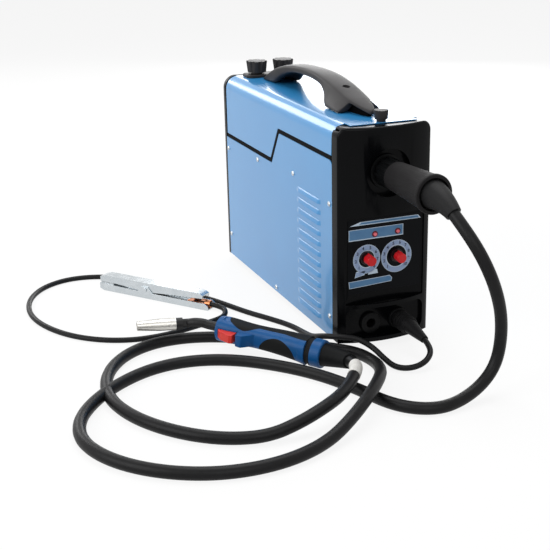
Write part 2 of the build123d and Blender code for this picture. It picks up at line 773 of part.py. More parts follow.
def switch_body():
    """Mains switch: frame and box, open at the back for the rocker."""
    x, z = switch_at
    seat = half_l - 4
    flange = box(x - 13, x + 13, seat, seat + 2, z - 16, z + 16)
    barrel = box(x - 10.8, x + 10.8, seat - 20, seat, z - 13.8, z + 13.8)
    body = flange + barrel
    body -= box(x - 8, x + 8, seat - 12, seat + 3, z - 11.5, z + 11.5)
    pin = along_x(1.5, 18, (x, seat - 3, z))
    return body + pin


def switch_rocker():
    """Rocker of the mains switch, resting in its off position."""
    x, z = switch_at
    y = half_l - 7
    side = [(y - 5, z - 4), (y + 4.6, z - 9.8), (y + 3.0, z), (y + 7.2, z + 9.4), (y - 5, z + 4)]
    rocker = side_plate(side, x - 7.6, x + 7.6)
    return rocker - along_x(1.55, 20, (x, y, z))


def cable_gland():
    """Screwed cable gland with a domed cap, open through the middle."""
    x, z = gland_at
    seat = half_l - 4
    hexagon = extrude(Plane(origin=(x, seat, z), z_dir=(0, 1, 0)) * RegularPolygon(12.5, 6), 6)
    dome = Plane(origin=(x, seat + 6, z), z_dir=(0, 1, 0)) * Pos(0, 0, 7) * Cone(11, 8, 14)
    stem = along_y(8.0, 14, (x, seat, z))
    nut = extrude(Plane(origin=(x, rear_y - 5, z), z_dir=(0, 1, 0)) * RegularPolygon(12.5, 6), 5)
    return hexagon + dome + stem + nut - along_y(5.0, 60, (x, half_l + 30, z))


def gas_inlet():
    """Brass gas inlet: hexagon, threaded stem and barbed hose tail."""
    x, z = gas_at
    seat = half_l - 4
    hexagon = extrude(Plane(origin=(x, seat, z), z_dir=(0, 1, 0)) * RegularPolygon(8.5, 6), 5)
    stem = along_y(6.5, 36.8, (x, seat, z))
    tail = along_y(GAS_TAIL_RADIUS, GAS_TAIL_LENGTH, (x, seat + 5 + GAS_TAIL_LENGTH, z))
    for n in range(3):
        barb = Plane(origin=(x, seat + 11 + 5 * n, z), z_dir=(0, 1, 0)) * Cone(
            GAS_TAIL_RADIUS + 1.0, GAS_TAIL_RADIUS, 4)
        tail += barb
    return hexagon + stem + tail - along_y(2.2, 80, (x, half_l + 30, z))


def gas_valve():
    """Solenoid gas valve behind the gas inlet, on the dividing wall."""
    x, z = gas_at
    y1 = half_l - 4 - 36.8
    body = box(WALL_X + SHEET, x + 10, y1 - 22, y1, z - 9, z + 9)
    coil = upright(9, 20, (x, y1 - 11, z + 9))
    return body + coil


def fan_frame():
    """Square fan frame with its struts and centre post."""
    y0 = rear_y - FAN_DEPTH - CLEAR
    half = FAN_SIZE / 2
    frame = box(-half, half, y0, rear_y - CLEAR, FAN_HEIGHT - half, FAN_HEIGHT + half)
    frame = fillet(frame.edges().filter_by(Axis.Y), 4)
    frame -= along_y(half - 2, 40, (0, rear_y + 5, FAN_HEIGHT))
    for n in range(4):
        strut = Pos(0, rear_y - CLEAR - 1.5, FAN_HEIGHT) * Rot(0, 45 + 90 * n, 0)
        frame += strut * Pos(half / 2 - 1, 0, 0) * Box(half, 3, 3)
    frame += along_y(15, 3, (0, rear_y - CLEAR, FAN_HEIGHT))
    return frame + along_y(3, 15, (0, rear_y - CLEAR - 3, FAN_HEIGHT))


def fan_rotor():
    """Fan rotor: hub cup and seven pitched blades."""
    y = rear_y - CLEAR - 4
    hub = along_y(15, 16, (0, y, FAN_HEIGHT))
    for n in range(FAN_BLADES):
        turn = Pos(0, y - 8, FAN_HEIGHT) * Rot(0, 360.0 / FAN_BLADES * n, 0)
        blade = Pos(25, 0, 0) * Rot(38, 0, 0) * Box(22, 1.4, 17)
        hub += turn * blade
    return hub - along_y(3.05, 15.4, (0, y + 1, FAN_HEIGHT))


# ---------------------------------------------------------------- wire feed
def centre_wall():
    """Bent sheet: the dividing wall, the shelf under the spool and the shelf's leg."""
    edge = -inner_w + SHEET
    y0, y1 = front_y + 3, rear_y - 35
    wall = box(WALL_X, WALL_X + SHEET, y0, y1, shelf_height, CASE_HEIGHT - 20)
    shelf = box(edge, WALL_X + SHEET, y0, y1, shelf_height, shelf_height + SHEET)
    leg = box(WALL_X, WALL_X + SHEET, y1 - 10, y1, tray_top, shelf_height)
    outer_leg = box(edge, edge + SHEET, y0, y1, tray_top, shelf_height)
    pitch = (y1 - y0 - 36) / 7
    for n in range(7):
        start = y0 + 24 + pitch * n
        outer_leg -= box(edge - 1, edge + 4, start, start + 0.7 * pitch,
                         tray_top + 15, shelf_height - 12)
    wall = wall + shelf + leg + outer_leg
    wall -= along_x(5.0, 20, (WALL_X, feed_y, roll_z))
    return wall - along_x(8.1, 20, (WALL_X, spool_y, spool_z))


def spool_hub():
    """Spool hub: bolted flange, drum and screwed retaining cap."""
    inner = SPOOL_X + SPOOL_WIDTH / 2
    outer = SPOOL_X - SPOOL_WIDTH / 2
    flange = along_x(32, WALL_X - inner - CLEAR, ((WALL_X + inner + CLEAR) / 2, spool_y, spool_z))
    drum_length = SPOOL_WIDTH + 2 * CLEAR
    drum = along_x(SPOOL_BORE - 0.5, drum_length, (SPOOL_X, spool_y, spool_z))
    cap = along_x(32, SPOOL_CAP, (outer - CLEAR - SPOOL_CAP / 2, spool_y, spool_z))
    for n in range(6):
        turn = Pos(outer - CLEAR - SPOOL_CAP / 2, spool_y, spool_z) * Rot(60 * n, 0, 0)
        cap -= turn * Pos(0, 0, 34) * Cylinder(6, 20, rotation=(0, 90, 0))
    stud = along_x(8, 6, (WALL_X + 2, spool_y, spool_z))
    return flange + drum + cap + stud


def wire_spool():
    """Plastic wire spool with lightening holes in both flanges."""
    outer = SPOOL_X - SPOOL_WIDTH / 2
    at = (SPOOL_X, spool_y, spool_z)
    flange = 4.0
    spool = along_x(50, SPOOL_WIDTH, at)
    for x in (outer + flange / 2, outer + SPOOL_WIDTH - flange / 2):
        disc = along_x(SPOOL_RADIUS, flange, (x, spool_y, spool_z))
        spool += disc
    for n in range(6):
        turn = Pos(*at) * Rot(60 * n, 0, 0)
        spool -= turn * Pos(0, 0, 38) * Cylinder(8, SPOOL_WIDTH + 2, rotation=(0, 90, 0))
    return spool - along_x(SPOOL_BORE, SPOOL_WIDTH + 2, at)


def wire_coil():
    """The welding wire wound on the spool, taken as one ring."""
    return along_x(86, SPOOL_WIDTH - 8.0, (SPOOL_X, spool_y, spool_z), 50)


def feed_motor():
    """Wire feed gearmotor on the far side of the dividing wall."""
    x = WALL_X + SHEET
    gearbox = box(x, x + 20, feed_y - 26, feed_y + 26, roll_z - 26, roll_z + 22)
    gearbox = fillet(gearbox.edges().filter_by(Axis.X), 5)
    can = along_x(18, 23, (x + 20 + 11.5, feed_y + 4, roll_z))
    cap = along_x(8, 2.0, (x + 44, feed_y + 4, roll_z))
    return gearbox + can + cap - along_x(4.06, 16, (x + 7, feed_y, roll_z))


def feed_plate():
    """Moulded feeder body on the wall: roll bearing, pivot pin, arm rest, wire guides."""
    x0 = arm_x[1] + 1.0
    body = box(x0, WALL_X, feed_y - 44, feed_y + 44, roll_z - 28, euro_height + 8)
    body += box(x0, WALL_X, pivot_at[0] - 9, pivot_at[0] + 9, euro_height + 8, pivot_at[1] + 9)
    body += along_x(3.0, 9, (x0 - 3.5, pivot_at[0], pivot_at[1]))
    body += box(arm_x[0], x0, feed_y - 44, feed_y - 32, euro_height + 4, euro_height + 8)
    body += box(-4, x0, feed_y + 22, feed_y + 40, euro_height - 5, euro_height + 5)
    body += box(-4, x0, feed_y - 44, feed_y - 20, euro_height - 5, euro_height + 3)
    body -= along_x(4.06, 40, (x0, feed_y, roll_z))
    body -= along_y(0.9, 120, (0, feed_y + 50, euro_height))
    return body


def wire_guide():
    """Steel guide tube between the feeder and the torch socket."""
    start = feed_y - 44
    return along_y(2.4, abs(euro_y + 12 - start), (0, start, euro_height), 0.9)


def drive_roll():
    """Grooved drive roll on its shaft."""
    roll = along_x(ROLL_RADIUS, ROLL_WIDTH, (0, feed_y, roll_z))
    for x in (-2.8, 2.8):
        roll -= along_x(ROLL_RADIUS + 1, 1.0, (x, feed_y, roll_z), ROLL_RADIUS - 0.6)
    cap = along_x(6, 3, (-ROLL_WIDTH / 2 - 1.5, feed_y, roll_z))
    shaft = along_x(4, 30, (15, feed_y, roll_z))
    return roll + cap + shaft


def pressure_arm():
    """Idler arm with the pin for the pressure roll and the boss for the tension screw."""
    x0, x1 = arm_x
    front = feed_y - 44
    points = [(pivot_at[0] + 7, pivot_at[1] - 6), (pivot_at[0] + 7, pivot_at[1] + 7),
              (front + 26, pivot_at[1] + 7), (front + 17, pivot_at[1] + 4.6),
              (front, pivot_at[1] + 4.6), (front, pivot_at[1] - 3),
              (feed_y - 16, pivot_at[1] - 6)]
    arm = side_plate(points, x0, x1)
    arm += box(-4, x1, front, front + 12, pivot_at[1] - 3, pivot_at[1] + 5)
    arm += along_x(3.0, x0 + 6, ((x0 - 6) / 2, feed_y, top_roll_z))
    arm -= along_x(3.05, 40, (0, pivot_at[0], pivot_at[1]))
    return arm - upright(2.6, 30, (1, front + 6, pivot_at[1] - 12))


def pressure_roll():
    """Plain pressure roll that runs on the arm's pin."""
    return along_x(ROLL_RADIUS, ROLL_WIDTH, (0, feed_y, top_roll_z), 3.05)


def tension_knob():
    """Tension screw in the arm's boss with its knurled cap."""
    y = feed_y - 38
    top = pivot_at[1] + 5 + CLEAR
    cap = Pos(1, y, top) * fluted_knob(8.5, 12, 10, 0.8)
    return cap + upright(2.5, 12, (1, y, top - 12))


# ---------------------------------------------------------------- power electronics
def heatsink():
    """Extruded aluminium heatsink hung under the shelf."""
    top = shelf_height
    fin = 0.48 * under_shelf
    y0, y1 = feed_y + 10, spool_y - 2
    sink = box(-48, 16, y0, y1, top - 7, top)
    for n in range(9):
        x = -47 + 7.6 * n
        sink += box(x, x + 2, y0, y1, top - 7 - fin, top - 7)
    return sink


def output_choke():
    """Ring choke wound with flat copper, standing on the tray."""
    radius = under_shelf / 2.7
    y = feed_y - 2
    z = tray_top + radius
    ring = along_y(radius, 24, (-10, y, z), 0.44 * radius)
    return fillet(ring.edges(), 4) + box(-22, 2, y - 24, y, tray_top, tray_top + 3)


def main_transformer():
    """Ferrite transformer with its winding, on the tray."""
    y = spool_y + 16
    top = tray_top + 0.77 * under_shelf
    core = box(-30, 14, y, y + 44, tray_top, top)
    core -= box(-31, 15, y + 10, y + 34, tray_top + 10, top - 10)
    winding = box(-24, 8, y + 4, y + 40, tray_top + 10, top - 10)
    return core + fillet(winding.edges().filter_by(Axis.Z), 6)


def power_board():
    """Main circuit board on four pillars from the dividing wall."""
    x = inner_w - 8.8
    y0, y1 = feed_y + 50, spool_y + 48
    z0, z1 = shelf_height + 20, CASE_HEIGHT - 29
    board = box(x, x + 1.6, y0, y1, z0, z1)
    for y in (y0 + 8, y1 - 8):
        for z in (z0 + 8, z1 - 8):
            board += along_x(3, x - WALL_X - SHEET, ((x + WALL_X + SHEET) / 2, y, z))
    return board


def capacitors():
    """Three smoothing capacitors standing off the main board."""
    cans = []
    for n in range(3):
        can = along_x(14, 30, (inner_w - 23.8, feed_y + 90 + 34 * n, CASE_HEIGHT - 65))
        cans.append(fillet(can.edges().sort_by(Axis.X)[0], 1.5))
    return solids_of(cans)


def control_board():
    """Control circuit board on the backs of the potentiometers."""
    y = panel_y + 8.1
    return box(-PANEL_HALF + 6, PANEL_HALF - 6, y, y + 1.6, PANEL_BOTTOM + 16, split_height - 14)


# ---------------------------------------------------------------- fasteners


def panel_screws():
    """Pan-head screws of both side panels."""
    heads = []
    for side in (-1, 1):
        for y, z in side_screws:
            plane = Plane(origin=(side * half_w, y, z), z_dir=(side, 0, 0))
            head = extrude(plane * Circle(3.8), 1.8)
            heads.append(fillet(head.edges().sort_by(Axis.X)[-1 if side > 0 else 0], 1.0))
    return solids_of(heads)


def rear_screws():
    """Four screws of the rear frame."""
    heads = []
    for x in (-half_w + 16, half_w - 16):
        for z in (FOOT_HEIGHT + 20, CASE_HEIGHT - 25):
            plane = Plane(origin=(x, half_l - 4, z), z_dir=(0, 1, 0))
            heads.append(extrude(plane * Circle(3.6), 1.8))
    return solids_of(heads)


# ---------------------------------------------------------------- torch


def torch_profile(points, half):
    """A symmetric moulding from a side view in the torch's own plane."""
    plane = Plane(origin=(0, 0, 0), x_dir=(1, 0, 0), z_dir=(0, -1, 0))
    return extrude(plane * make_face(points), half, both=True)


def torch_round(radius, start, end, inner=0.0):
    """A round piece along the torch handle's axis."""
    ring = Circle(radius) - Circle(inner) if inner else Circle(radius)
    return extrude(Plane(origin=(start, 0, 0), z_dir=(1, 0, 0)) * ring, end - start)


def torch_shell():
    """The handle's outer form: rounded sections lofted along its axis."""
    rear = -handle_length
    sections = []
    for x, top, under, half in (
        (0, 15, -15, 15.5), (-28, 17, -15.5, 15.5), (-58, 16.5, -12.5, 14.5),
        (-90, 20, -13, 15), (-126, 20, -16.5, 16.5), (rear + 23, 18.4, -18.4, 18.0),
    ):
        plane = Plane(origin=(x, 0, (top + under) / 2), x_dir=(0, 1, 0), z_dir=(1, 0, 0))
        sections.append(plane * RectangleRounded(2 * half, top - under, 0.32 * (top - under)))
    return loft(sections)


def torch_handle():
    """Torch handle: nose ring, finger hook, waisted grip and tail ring."""
    rear = -handle_length
    shell = torch_shell() + torch_round(17, -7, 0)
    hook = torch_profile(Polyline((-36, -8), (-38.5, -26), (-47, -27), (-60, -12), (-60, -6),
                                  close=True), 8.5)
    shell += fillet(hook.edges().filter_by(Axis.Y).group_by(Axis.Z)[0], 2.5)
    shell -= torch_round(NECK_RADIUS + 0.05, -20, 1)
    pocket = Polyline((-4.8, -3.5), (-4.8, -30), (-36.5, -30), (-36.5, -3.5), close=True)
    shell -= torch_profile(pocket, 6.4)
    shell += Pos(TRIGGER_PIN[0], 0, TRIGGER_PIN[1]) * Cylinder(1.2, 14, rotation=(90, 0, 0))
    ring = torch_round(19.5, rear, rear + 18)
    ring = fillet(ring.edges(), 2.0)
    shell = shell + torch_round(17.6, rear + 16, rear + 24) + ring
    return shell - grip_pocket()


def grip_pocket():
    """The space the soft grip fills, round both flanks and under the handle."""
    outline = Polyline((-68, -24), (-74, -4), (-96, 4), (-118, 2), (-127, -8), (-129, -24),
                       close=True)
    core = Pos(-98, 0, 10) * Box(90, 2 * GRIP_CORE, 39)
    return torch_profile(outline, 22) - core


def torch_grip():
    """Soft grip insert, flush with the handle."""
    return torch_shell() & grip_pocket()


def torch_trigger():
    """Trigger that swings on a cross pin at its front."""
    outline = Polyline((-6, -9), (-6, -18), (-14, -24), (-29, -28), (-33.5, -26), (-33.5, -9),
                       close=True)
    body = torch_profile(outline, 6.0)
    body = fillet(body.edges().filter_by(Axis.Y), 1.5)
    return body - Pos(TRIGGER_PIN[0], 0, TRIGGER_PIN[1]) * Cylinder(1.3, 14, rotation=(90, 0, 0))


def torch_boot():
    """Rubber boot between the handle and the hose, bent with the hose's pull."""
    middle = TORCH_REAR - torch_axis * 21 + Vector(0.6, 0, 0)
    end = Vector(*HOSE_ROUTE[-1])
    sections = [
        Plane(origin=TORCH_REAR, z_dir=-torch_axis) * Circle(16),
        Plane(origin=middle, z_dir=(0.40, -0.91, 0)) * Circle(13),
        Plane(origin=end, z_dir=Vector(*HOSE_ROUTE[-2]) - end) * Circle(10.2),
    ]
    return loft(sections)


def neck_path():
    """The swan neck's centre line, from inside the handle to the nozzle seat."""
    bend = math.radians(NECK_BEND)
    start = 22.0
    curve_end = (start + NECK_CURVE * math.sin(bend), -NECK_CURVE * (1 - math.cos(bend)))
    tip = (curve_end[0] + NECK_STRAIGHT * math.cos(bend),
           curve_end[1] - NECK_STRAIGHT * math.sin(bend))
    return start, curve_end, tip


def neck_end_plane():
    """The plane square to the neck at its outer end, in the torch's own frame."""
    bend = math.radians(NECK_BEND)
    tip = neck_path()[2]
    return Plane(origin=(tip[0], 0, tip[1]), z_dir=(math.cos(bend), 0, -math.sin(bend)))


def torch_neck():
    """Insulated swan neck with its seat for the nozzle."""
    start, curve_end, tip = neck_path()
    path = Line((-18, 0, 0), (start, 0, 0))
    path += RadiusArc((start, 0, 0), (curve_end[0], 0, curve_end[1]), NECK_CURVE)
    inside = Vector(tip[0], 0, tip[1]) - neck_end_plane().z_dir
    path += Line((curve_end[0], 0, curve_end[1]), inside)
    tube = sweep(Plane(origin=(-18, 0, 0), z_dir=(1, 0, 0)) * Circle(NECK_RADIUS), path)
    collar = extrude(neck_end_plane() * Circle(8.4), -9)
    seat = extrude(neck_end_plane() * Circle(5.5), 14)
    return tube + collar + seat


def torch_nozzle():
    """Conical gas nozzle over the neck's seat."""
    plane = neck_end_plane() * Pos(0, 0, 0.1)
    straight = extrude(plane * Circle(8.6), 22)
    taper = plane * Pos(0, 0, 22 + (NOZZLE_LENGTH - 22) / 2) * Cone(8.6, 6.6, NOZZLE_LENGTH - 22)
    bore = extrude(plane * Circle(5.5), 24)
    mouth = plane * Pos(0, 0, 24 + (NOZZLE_LENGTH - 22) / 2) * Cone(6.9, 5.2, NOZZLE_LENGTH - 20)
    return straight + taper - bore - mouth


def contact_tip():
    """Copper contact tip inside the nozzle."""
    plane = neck_end_plane() * Pos(0, 0, 14)
    body = extrude(plane * Circle(4.0), NOZZLE_LENGTH - 20)
    return body - extrude(plane * Circle(0.6), NOZZLE_LENGTH)


# ---------------------------------------------------------------- earth lead


def clamp_side(points, half):
    """A plate across the clamp from (along, up) points."""
    plane = Plane(origin=(0, 0, 0), x_dir=(1, 0, 0), z_dir=(0, -1, 0))
    return extrude(plane * make_face(Polyline(*points, close=True)), half, both=True)


def clamp_lower_arm():
    """Lower arm: pressed channel, open upward, with pivot ears."""
    end = clamp_length
    outline = [(0, 0), (end - 8, 0), (end, 3), (end, 12), (CLAMP_PIVOT + 14, 10),
               (CLAMP_PIVOT + 6, 19), (CLAMP_PIVOT - 6, 19), (CLAMP_PIVOT - 14, 10), (6, 10),
               (0, 6)]
    arm = clamp_side(outline, CLAMP_HALF)
    hollow = [(-1, CLAMP_WALL), (end - 9, CLAMP_WALL), (end - CLAMP_WALL, 4.5),
              (end - CLAMP_WALL, 30), (-1, 30)]
    arm -= clamp_side(hollow, CLAMP_HALF - CLAMP_WALL)
    jaw_top = 14.0 - CLEAR
    arm += box(end - 26, end - 2, -CLAMP_HALF + CLAMP_WALL, CLAMP_HALF - CLAMP_WALL,
               CLAMP_WALL, jaw_top)
    return arm - Pos(CLAMP_PIVOT, 0, PIVOT_HEIGHT) * Cylinder(2.5, 60, rotation=(90, 0, 0))


def clamp_upper_arm():
    """Upper arm: pressed channel, open downward, nested between the lower arm's ears."""
    end = clamp_length
    half = CLAMP_HALF - CLAMP_WALL - CLEAR
    outline = [(16, 25), (10, 22), (10, 17), (60, 14), (CLAMP_PIVOT - 16, 11),
               (CLAMP_PIVOT, 8), (CLAMP_PIVOT + 12, 11), (end - 30, 14), (end, 14),
               (end, 22), (end - 10, 25)]
    arm = clamp_side(outline, half)
    hollow = [(18, 25 - CLAMP_WALL), (9, 20), (9, 0), (end - 30, 0),
              (end - 30, 14 + CLAMP_WALL), (end - 12, 25 - CLAMP_WALL)]
    arm -= clamp_side(hollow, half - CLAMP_WALL)
    bore = Pos(CLAMP_PIVOT, 0, PIVOT_HEIGHT) * Cylinder(2.55, 40, rotation=(90, 0, 0))
    return arm - bore


def clamp_pin():
    """Rivet through both arms of the clamp."""
    pin = Pos(CLAMP_PIVOT, 0, PIVOT_HEIGHT) * Cylinder(2.5, 2 * CLAMP_HALF, rotation=(90, 0, 0))
    for side in (-1, 1):
        head = Pos(CLAMP_PIVOT, side * (CLAMP_HALF + 0.8), PIVOT_HEIGHT)
        pin += head * Cylinder(4, 1.6, rotation=(90, 0, 0))
    return pin


def clamp_spring():
    """Torsion spring round the rivet, taken as its coil."""
    coil = Cylinder(5.2, 10, rotation=(90, 0, 0)) - Cylinder(2.7, 12, rotation=(90, 0, 0))
    return Pos(CLAMP_PIVOT, 0, PIVOT_HEIGHT) * coil


def clamp_lug():
    """Copper cable lug bolted inside the lower arm's handle."""
    floor = CLAMP_WALL
    barrel = Pos(5.1, 0, floor + 5.6) * Cylinder(5.5, 9, rotation=(0, 90, 0))
    tongue = Pos(28, 0, floor + 1.2) * Box(40, 13, 2.4)
    bolt = Pos(38, 0, floor + 2.4 + 2) * extrude(RegularPolygon(6, 6), 2, both=True)
    return barrel + tongue + bolt


def earth_plug():
    """Twist-lock cable plug: brass nose in the socket and ribbed rubber sleeve."""
    at = (EARTH_X, bay_y - 5 - CLEAR, SOCKET_HEIGHT)
    nose = along_y(SOCKET_BORE - 0.15, 18, (EARTH_X, bay_y + 12, SOCKET_HEIGHT))
    sleeve = along_y(PLUG_RADIUS, 34, at)
    for n in range(4):
        y = at[1] - 6 - 7 * n
        sleeve += along_y(PLUG_RADIUS + 1.2, 3, (EARTH_X, y, SOCKET_HEIGHT))
    tail = loft([
        Plane(origin=(EARTH_X, at[1] - 34, SOCKET_HEIGHT), z_dir=(0, -1, 0)) * Circle(10.5),
        Plane(origin=CABLE_ROUTE[0], z_dir=Vector(*CABLE_ROUTE[1]) - Vector(*CABLE_ROUTE[0]))
        * Circle(5.5),
    ])
    return nose + sleeve + tail


# ---------------------------------------------------------------- cords
def cord_tube(points, diameter, name):
    """A tube of straight runs and tangent arcs through the points of a route."""
    places = [Vector(*p) for p in points]
    radii = []
    for before, here, after in zip(places, places[1:], places[2:]):
        turn = (here - before).get_angle(after - here)
        shorter = min((here - before).length, (after - here).length)
        radii.append(0.45 * shorter / math.tan(math.radians(turn) / 2))
    path = FilletPolyline(*places, radius=radii)
    heading = places[1] - places[0]
    tube = sweep(Plane(origin=places[0], z_dir=heading) * Circle(diameter / 2), path)
    section = math.pi * diameter ** 2 / 4
    share = tube.volume / (section * path.length)
    runs = [(b - a).length for a, b in zip(places, places[1:])]
    print(f"{name}: length {path.length:.0f}, volume share {share:.4f}, "
          f"runs {min(runs):.0f}-{max(runs):.0f}, smallest radius {min(radii):.0f}")
    print("  radii", [round(r) for r in radii])
    return tube


# ---------------------------------------------------------------- build
def build_casing():
    """Everything fixed to the casing."""
    write(base_tray(), "base_tray")
    write(rubber_feet(), "rubber_feet")
    write(side_panel(-1), "side_panel_left")
    write(side_panel(1), "side_panel_right")
    write(front_bezel(), "front_bezel")
    write(control_label(), "control_label")
    write(led_lenses(), "led_lenses")
    write(panel_knob(power_knob_at), "power_knob")
    write(panel_knob(speed_knob_at), "wire_speed_knob")
    write(solids_of([dinse_socket(EARTH_X), dinse_socket(POSITIVE_X)]), "current_sockets")
    write(euro_socket() + wire_guide(), "euro_socket")
    write(rear_panel(), "rear_panel")
    write(switch_body(), "switch_body")
    write(switch_rocker(), "switch_rocker")
    write(cable_gland(), "cable_gland")
    write(solids_of([gas_inlet(), gas_valve()]), "gas_fittings")
    write(fan_frame(), "fan_frame")
    write(fan_rotor(), "fan_rotor")
    write(solids_of([panel_screws(), rear_screws()]), "casing_screws")


def build_lid():
    """The lid and what swings with it."""
    write(lid(), "lid")
    write(lid_edge_seal(), "lid_edge_seal")
    write(hinge_fixed_leaf(), "hinge_fixed_leaf")
    write(hinge_lid_leaf(), "hinge_lid_leaf")
    write(thumb_screw(), "thumb_screw")
    write(carry_handle(), "carry_handle")
    write(handle_screws(), "handle_screws")
    write(knob_bracket(), "knob_bracket")
    write(hand_knob(-HAND_KNOB_X), "hand_knob_left")
    write(hand_knob(HAND_KNOB_X), "hand_knob_right")


def build_inside():
    """Wire feed and power electronics."""
    write(centre_wall(), "centre_wall")
    write(spool_hub(), "spool_hub")
    write(wire_spool(), "wire_spool")
    write(wire_coil(), "wire_coil")
    write(feed_motor(), "feed_motor")
    write(feed_plate(), "feed_plate")
    write(drive_roll(), "drive_roll")
    write(pressure_arm(), "pressure_arm")
    write(pressure_roll(), "pressure_roll")
    write(tension_knob(), "tension_knob")
    write(heatsink(), "heatsink")
    write(solids_of([output_choke(), main_transformer()]), "choke_and_transformer")
    write(solids_of([power_board(), capacitors()]), "power_board")
    write(solids_of([control_board(), potentiometers()]), "control_board")


def build_torch():
    """The torch with its plug and hose."""
    write(euro_plug_nut(), "euro_plug_nut")
    write(plug_sleeve(), "plug_sleeve")
    write(hose_relief(), "hose_relief")
    pieces = {
        "torch_handle": torch_handle(),
        "torch_grip": torch_grip(),
        "torch_trigger": torch_trigger(),
        "torch_neck": torch_neck(),
        "torch_nozzle": torch_nozzle(),
        "contact_tip": contact_tip(),
    }
    for name, piece in pieces.items():
        write(torch_plane.location * piece, name)
    write(torch_boot(), "torch_boot")
    write(cord_tube(HOSE_ROUTE, HOSE_DIAMETER, "torch_hose"), "torch_hose")


def build_earth_lead():
    """The earth lead with its plug and clamp."""
    write(earth_plug(), "earth_plug")
    pieces = {
        "clamp_lower_arm": clamp_lower_arm(),
        "clamp_upper_arm": clamp_upper_arm(),
        "clamp_pivot": solids_of([clamp_pin(), clamp_spring()]),
        "clamp_lug": clamp_lug(),
    }
    for name, piece in pieces.items():
        write(clamp_plane.location * piece, name)
    write(cord_tube(CABLE_ROUTE, CABLE_DIAMETER, "earth_cable"), "earth_cable")


build_casing()
build_lid()
build_inside()
build_torch()
build_earth_lead()
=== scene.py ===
import math

import bmesh
import bpy
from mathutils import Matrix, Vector


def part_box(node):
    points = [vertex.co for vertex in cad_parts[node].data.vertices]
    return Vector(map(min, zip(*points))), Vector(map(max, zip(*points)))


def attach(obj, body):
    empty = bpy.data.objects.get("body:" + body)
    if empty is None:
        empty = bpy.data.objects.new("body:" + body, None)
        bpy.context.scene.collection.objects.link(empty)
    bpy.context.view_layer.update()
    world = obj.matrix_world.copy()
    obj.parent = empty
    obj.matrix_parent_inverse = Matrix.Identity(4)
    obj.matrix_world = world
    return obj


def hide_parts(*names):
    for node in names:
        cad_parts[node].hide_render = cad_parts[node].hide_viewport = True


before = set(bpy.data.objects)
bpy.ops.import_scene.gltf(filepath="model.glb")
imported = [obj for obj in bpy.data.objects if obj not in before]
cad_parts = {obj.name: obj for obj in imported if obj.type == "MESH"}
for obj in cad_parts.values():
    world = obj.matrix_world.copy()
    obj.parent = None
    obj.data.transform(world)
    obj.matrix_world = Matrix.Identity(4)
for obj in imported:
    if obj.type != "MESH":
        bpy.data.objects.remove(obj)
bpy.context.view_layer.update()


# ---------------------------------------------------------------- camera, floor and light
# A long lens looks down on the front left corner. The floor is a seamless pale sheet that
# keeps the soft shadow under the machine and its leads, and five soft boxes light them.
CAMERA_PLACE = Vector((-0.6710, -1.5381, 0.6225))
CAMERA_TURN = 25.13
CAMERA_PITCH = 19.5
FLOOR_REACH = 9
FLOOR_DROP = 0.0002
PAPER_GLOW = 0.87
FAR_BOX_DISTANCE = 2.4


def placed(name, data):
    """A new object of some data, at the origin of the scene."""
    thing = bpy.data.objects.new(name, data)
    bpy.context.scene.collection.objects.link(thing)
    return thing


camera = placed("camera", bpy.data.cameras.new("camera"))
camera.data.sensor_width = 36.0
camera.data.lens = 73.6
camera.data.shift_x = -0.132
camera.location = CAMERA_PLACE
camera.rotation_euler = (math.radians(90 - CAMERA_PITCH), 0, math.radians(-CAMERA_TURN))
bpy.context.scene.camera = camera
bpy.context.scene.view_settings.view_transform = "Standard"


def colour(code):
    """A linear colour from an sRGB hex value."""
    channels = [int(code[n:n + 2], 16) / 255 for n in (1, 3, 5)]
    return [c / 12.92 if c <= 0.04045 else ((c + 0.055) / 1.055) ** 2.4 for c in channels] + [1]


def add_node(tree, kind, values=None, **settings):
    """A node with its settings, and its inputs set to values or linked from nodes or sockets."""
    node = tree.nodes.new(kind)
    for name, value in settings.items():
        setattr(node, name, value)
    for name, value in (values or {}).items():
        if isinstance(value, bpy.types.Node):
            value = value.outputs[0]
        if isinstance(value, bpy.types.NodeSocket):
            tree.links.new(value, node.inputs[name])
        else:
            node.inputs[name].default_value = value
    return node


def seen_white(tree):
    """One for rays from the camera, from a gloss or through glass, and nought for the rest."""
    path = add_node(tree, "ShaderNodeLightPath").outputs
    seen = add_node(tree, "ShaderNodeMath", {
        0: path["Is Camera Ray"], 1: path["Is Glossy Ray"]}, operation="MAXIMUM")
    return add_node(tree, "ShaderNodeMath", {
        0: seen, 1: path["Is Transmission Ray"]}, operation="MAXIMUM")


def studio_floor():
    """White paper floor that shows white and keeps the shadow."""
    material = bpy.data.materials.new("white_paper_floor")
    material.use_nodes = True
    tree = material.node_tree
    tree.nodes.clear()
    paper = add_node(tree, "ShaderNodeBsdfDiffuse", {"Color": colour("#f4f4f4")})
    glow = add_node(tree, "ShaderNodeEmission", {"Color": colour("#ffffff"), "Strength": 1.0})
    share = add_node(tree, "ShaderNodeMath", {0: seen_white(tree), 1: PAPER_GLOW},
                     operation="MULTIPLY")
    mixed = add_node(tree, "ShaderNodeMixShader", {"Fac": share, 1: paper, 2: glow})
    add_node(tree, "ShaderNodeOutputMaterial", {"Surface": mixed})
    return material


floor_mesh = bpy.data.meshes.new("floor")
floor_mesh.from_pydata([(x * FLOOR_REACH, y * FLOOR_REACH, 0) for x, y in (
    (-1, -1), (1, -1), (1, 1), (-1, 1))], [], [(0, 1, 2, 3)])
floor_mesh.materials.append(studio_floor())
floor = placed("floor", floor_mesh)
floor.location.z = -FLOOR_DROP

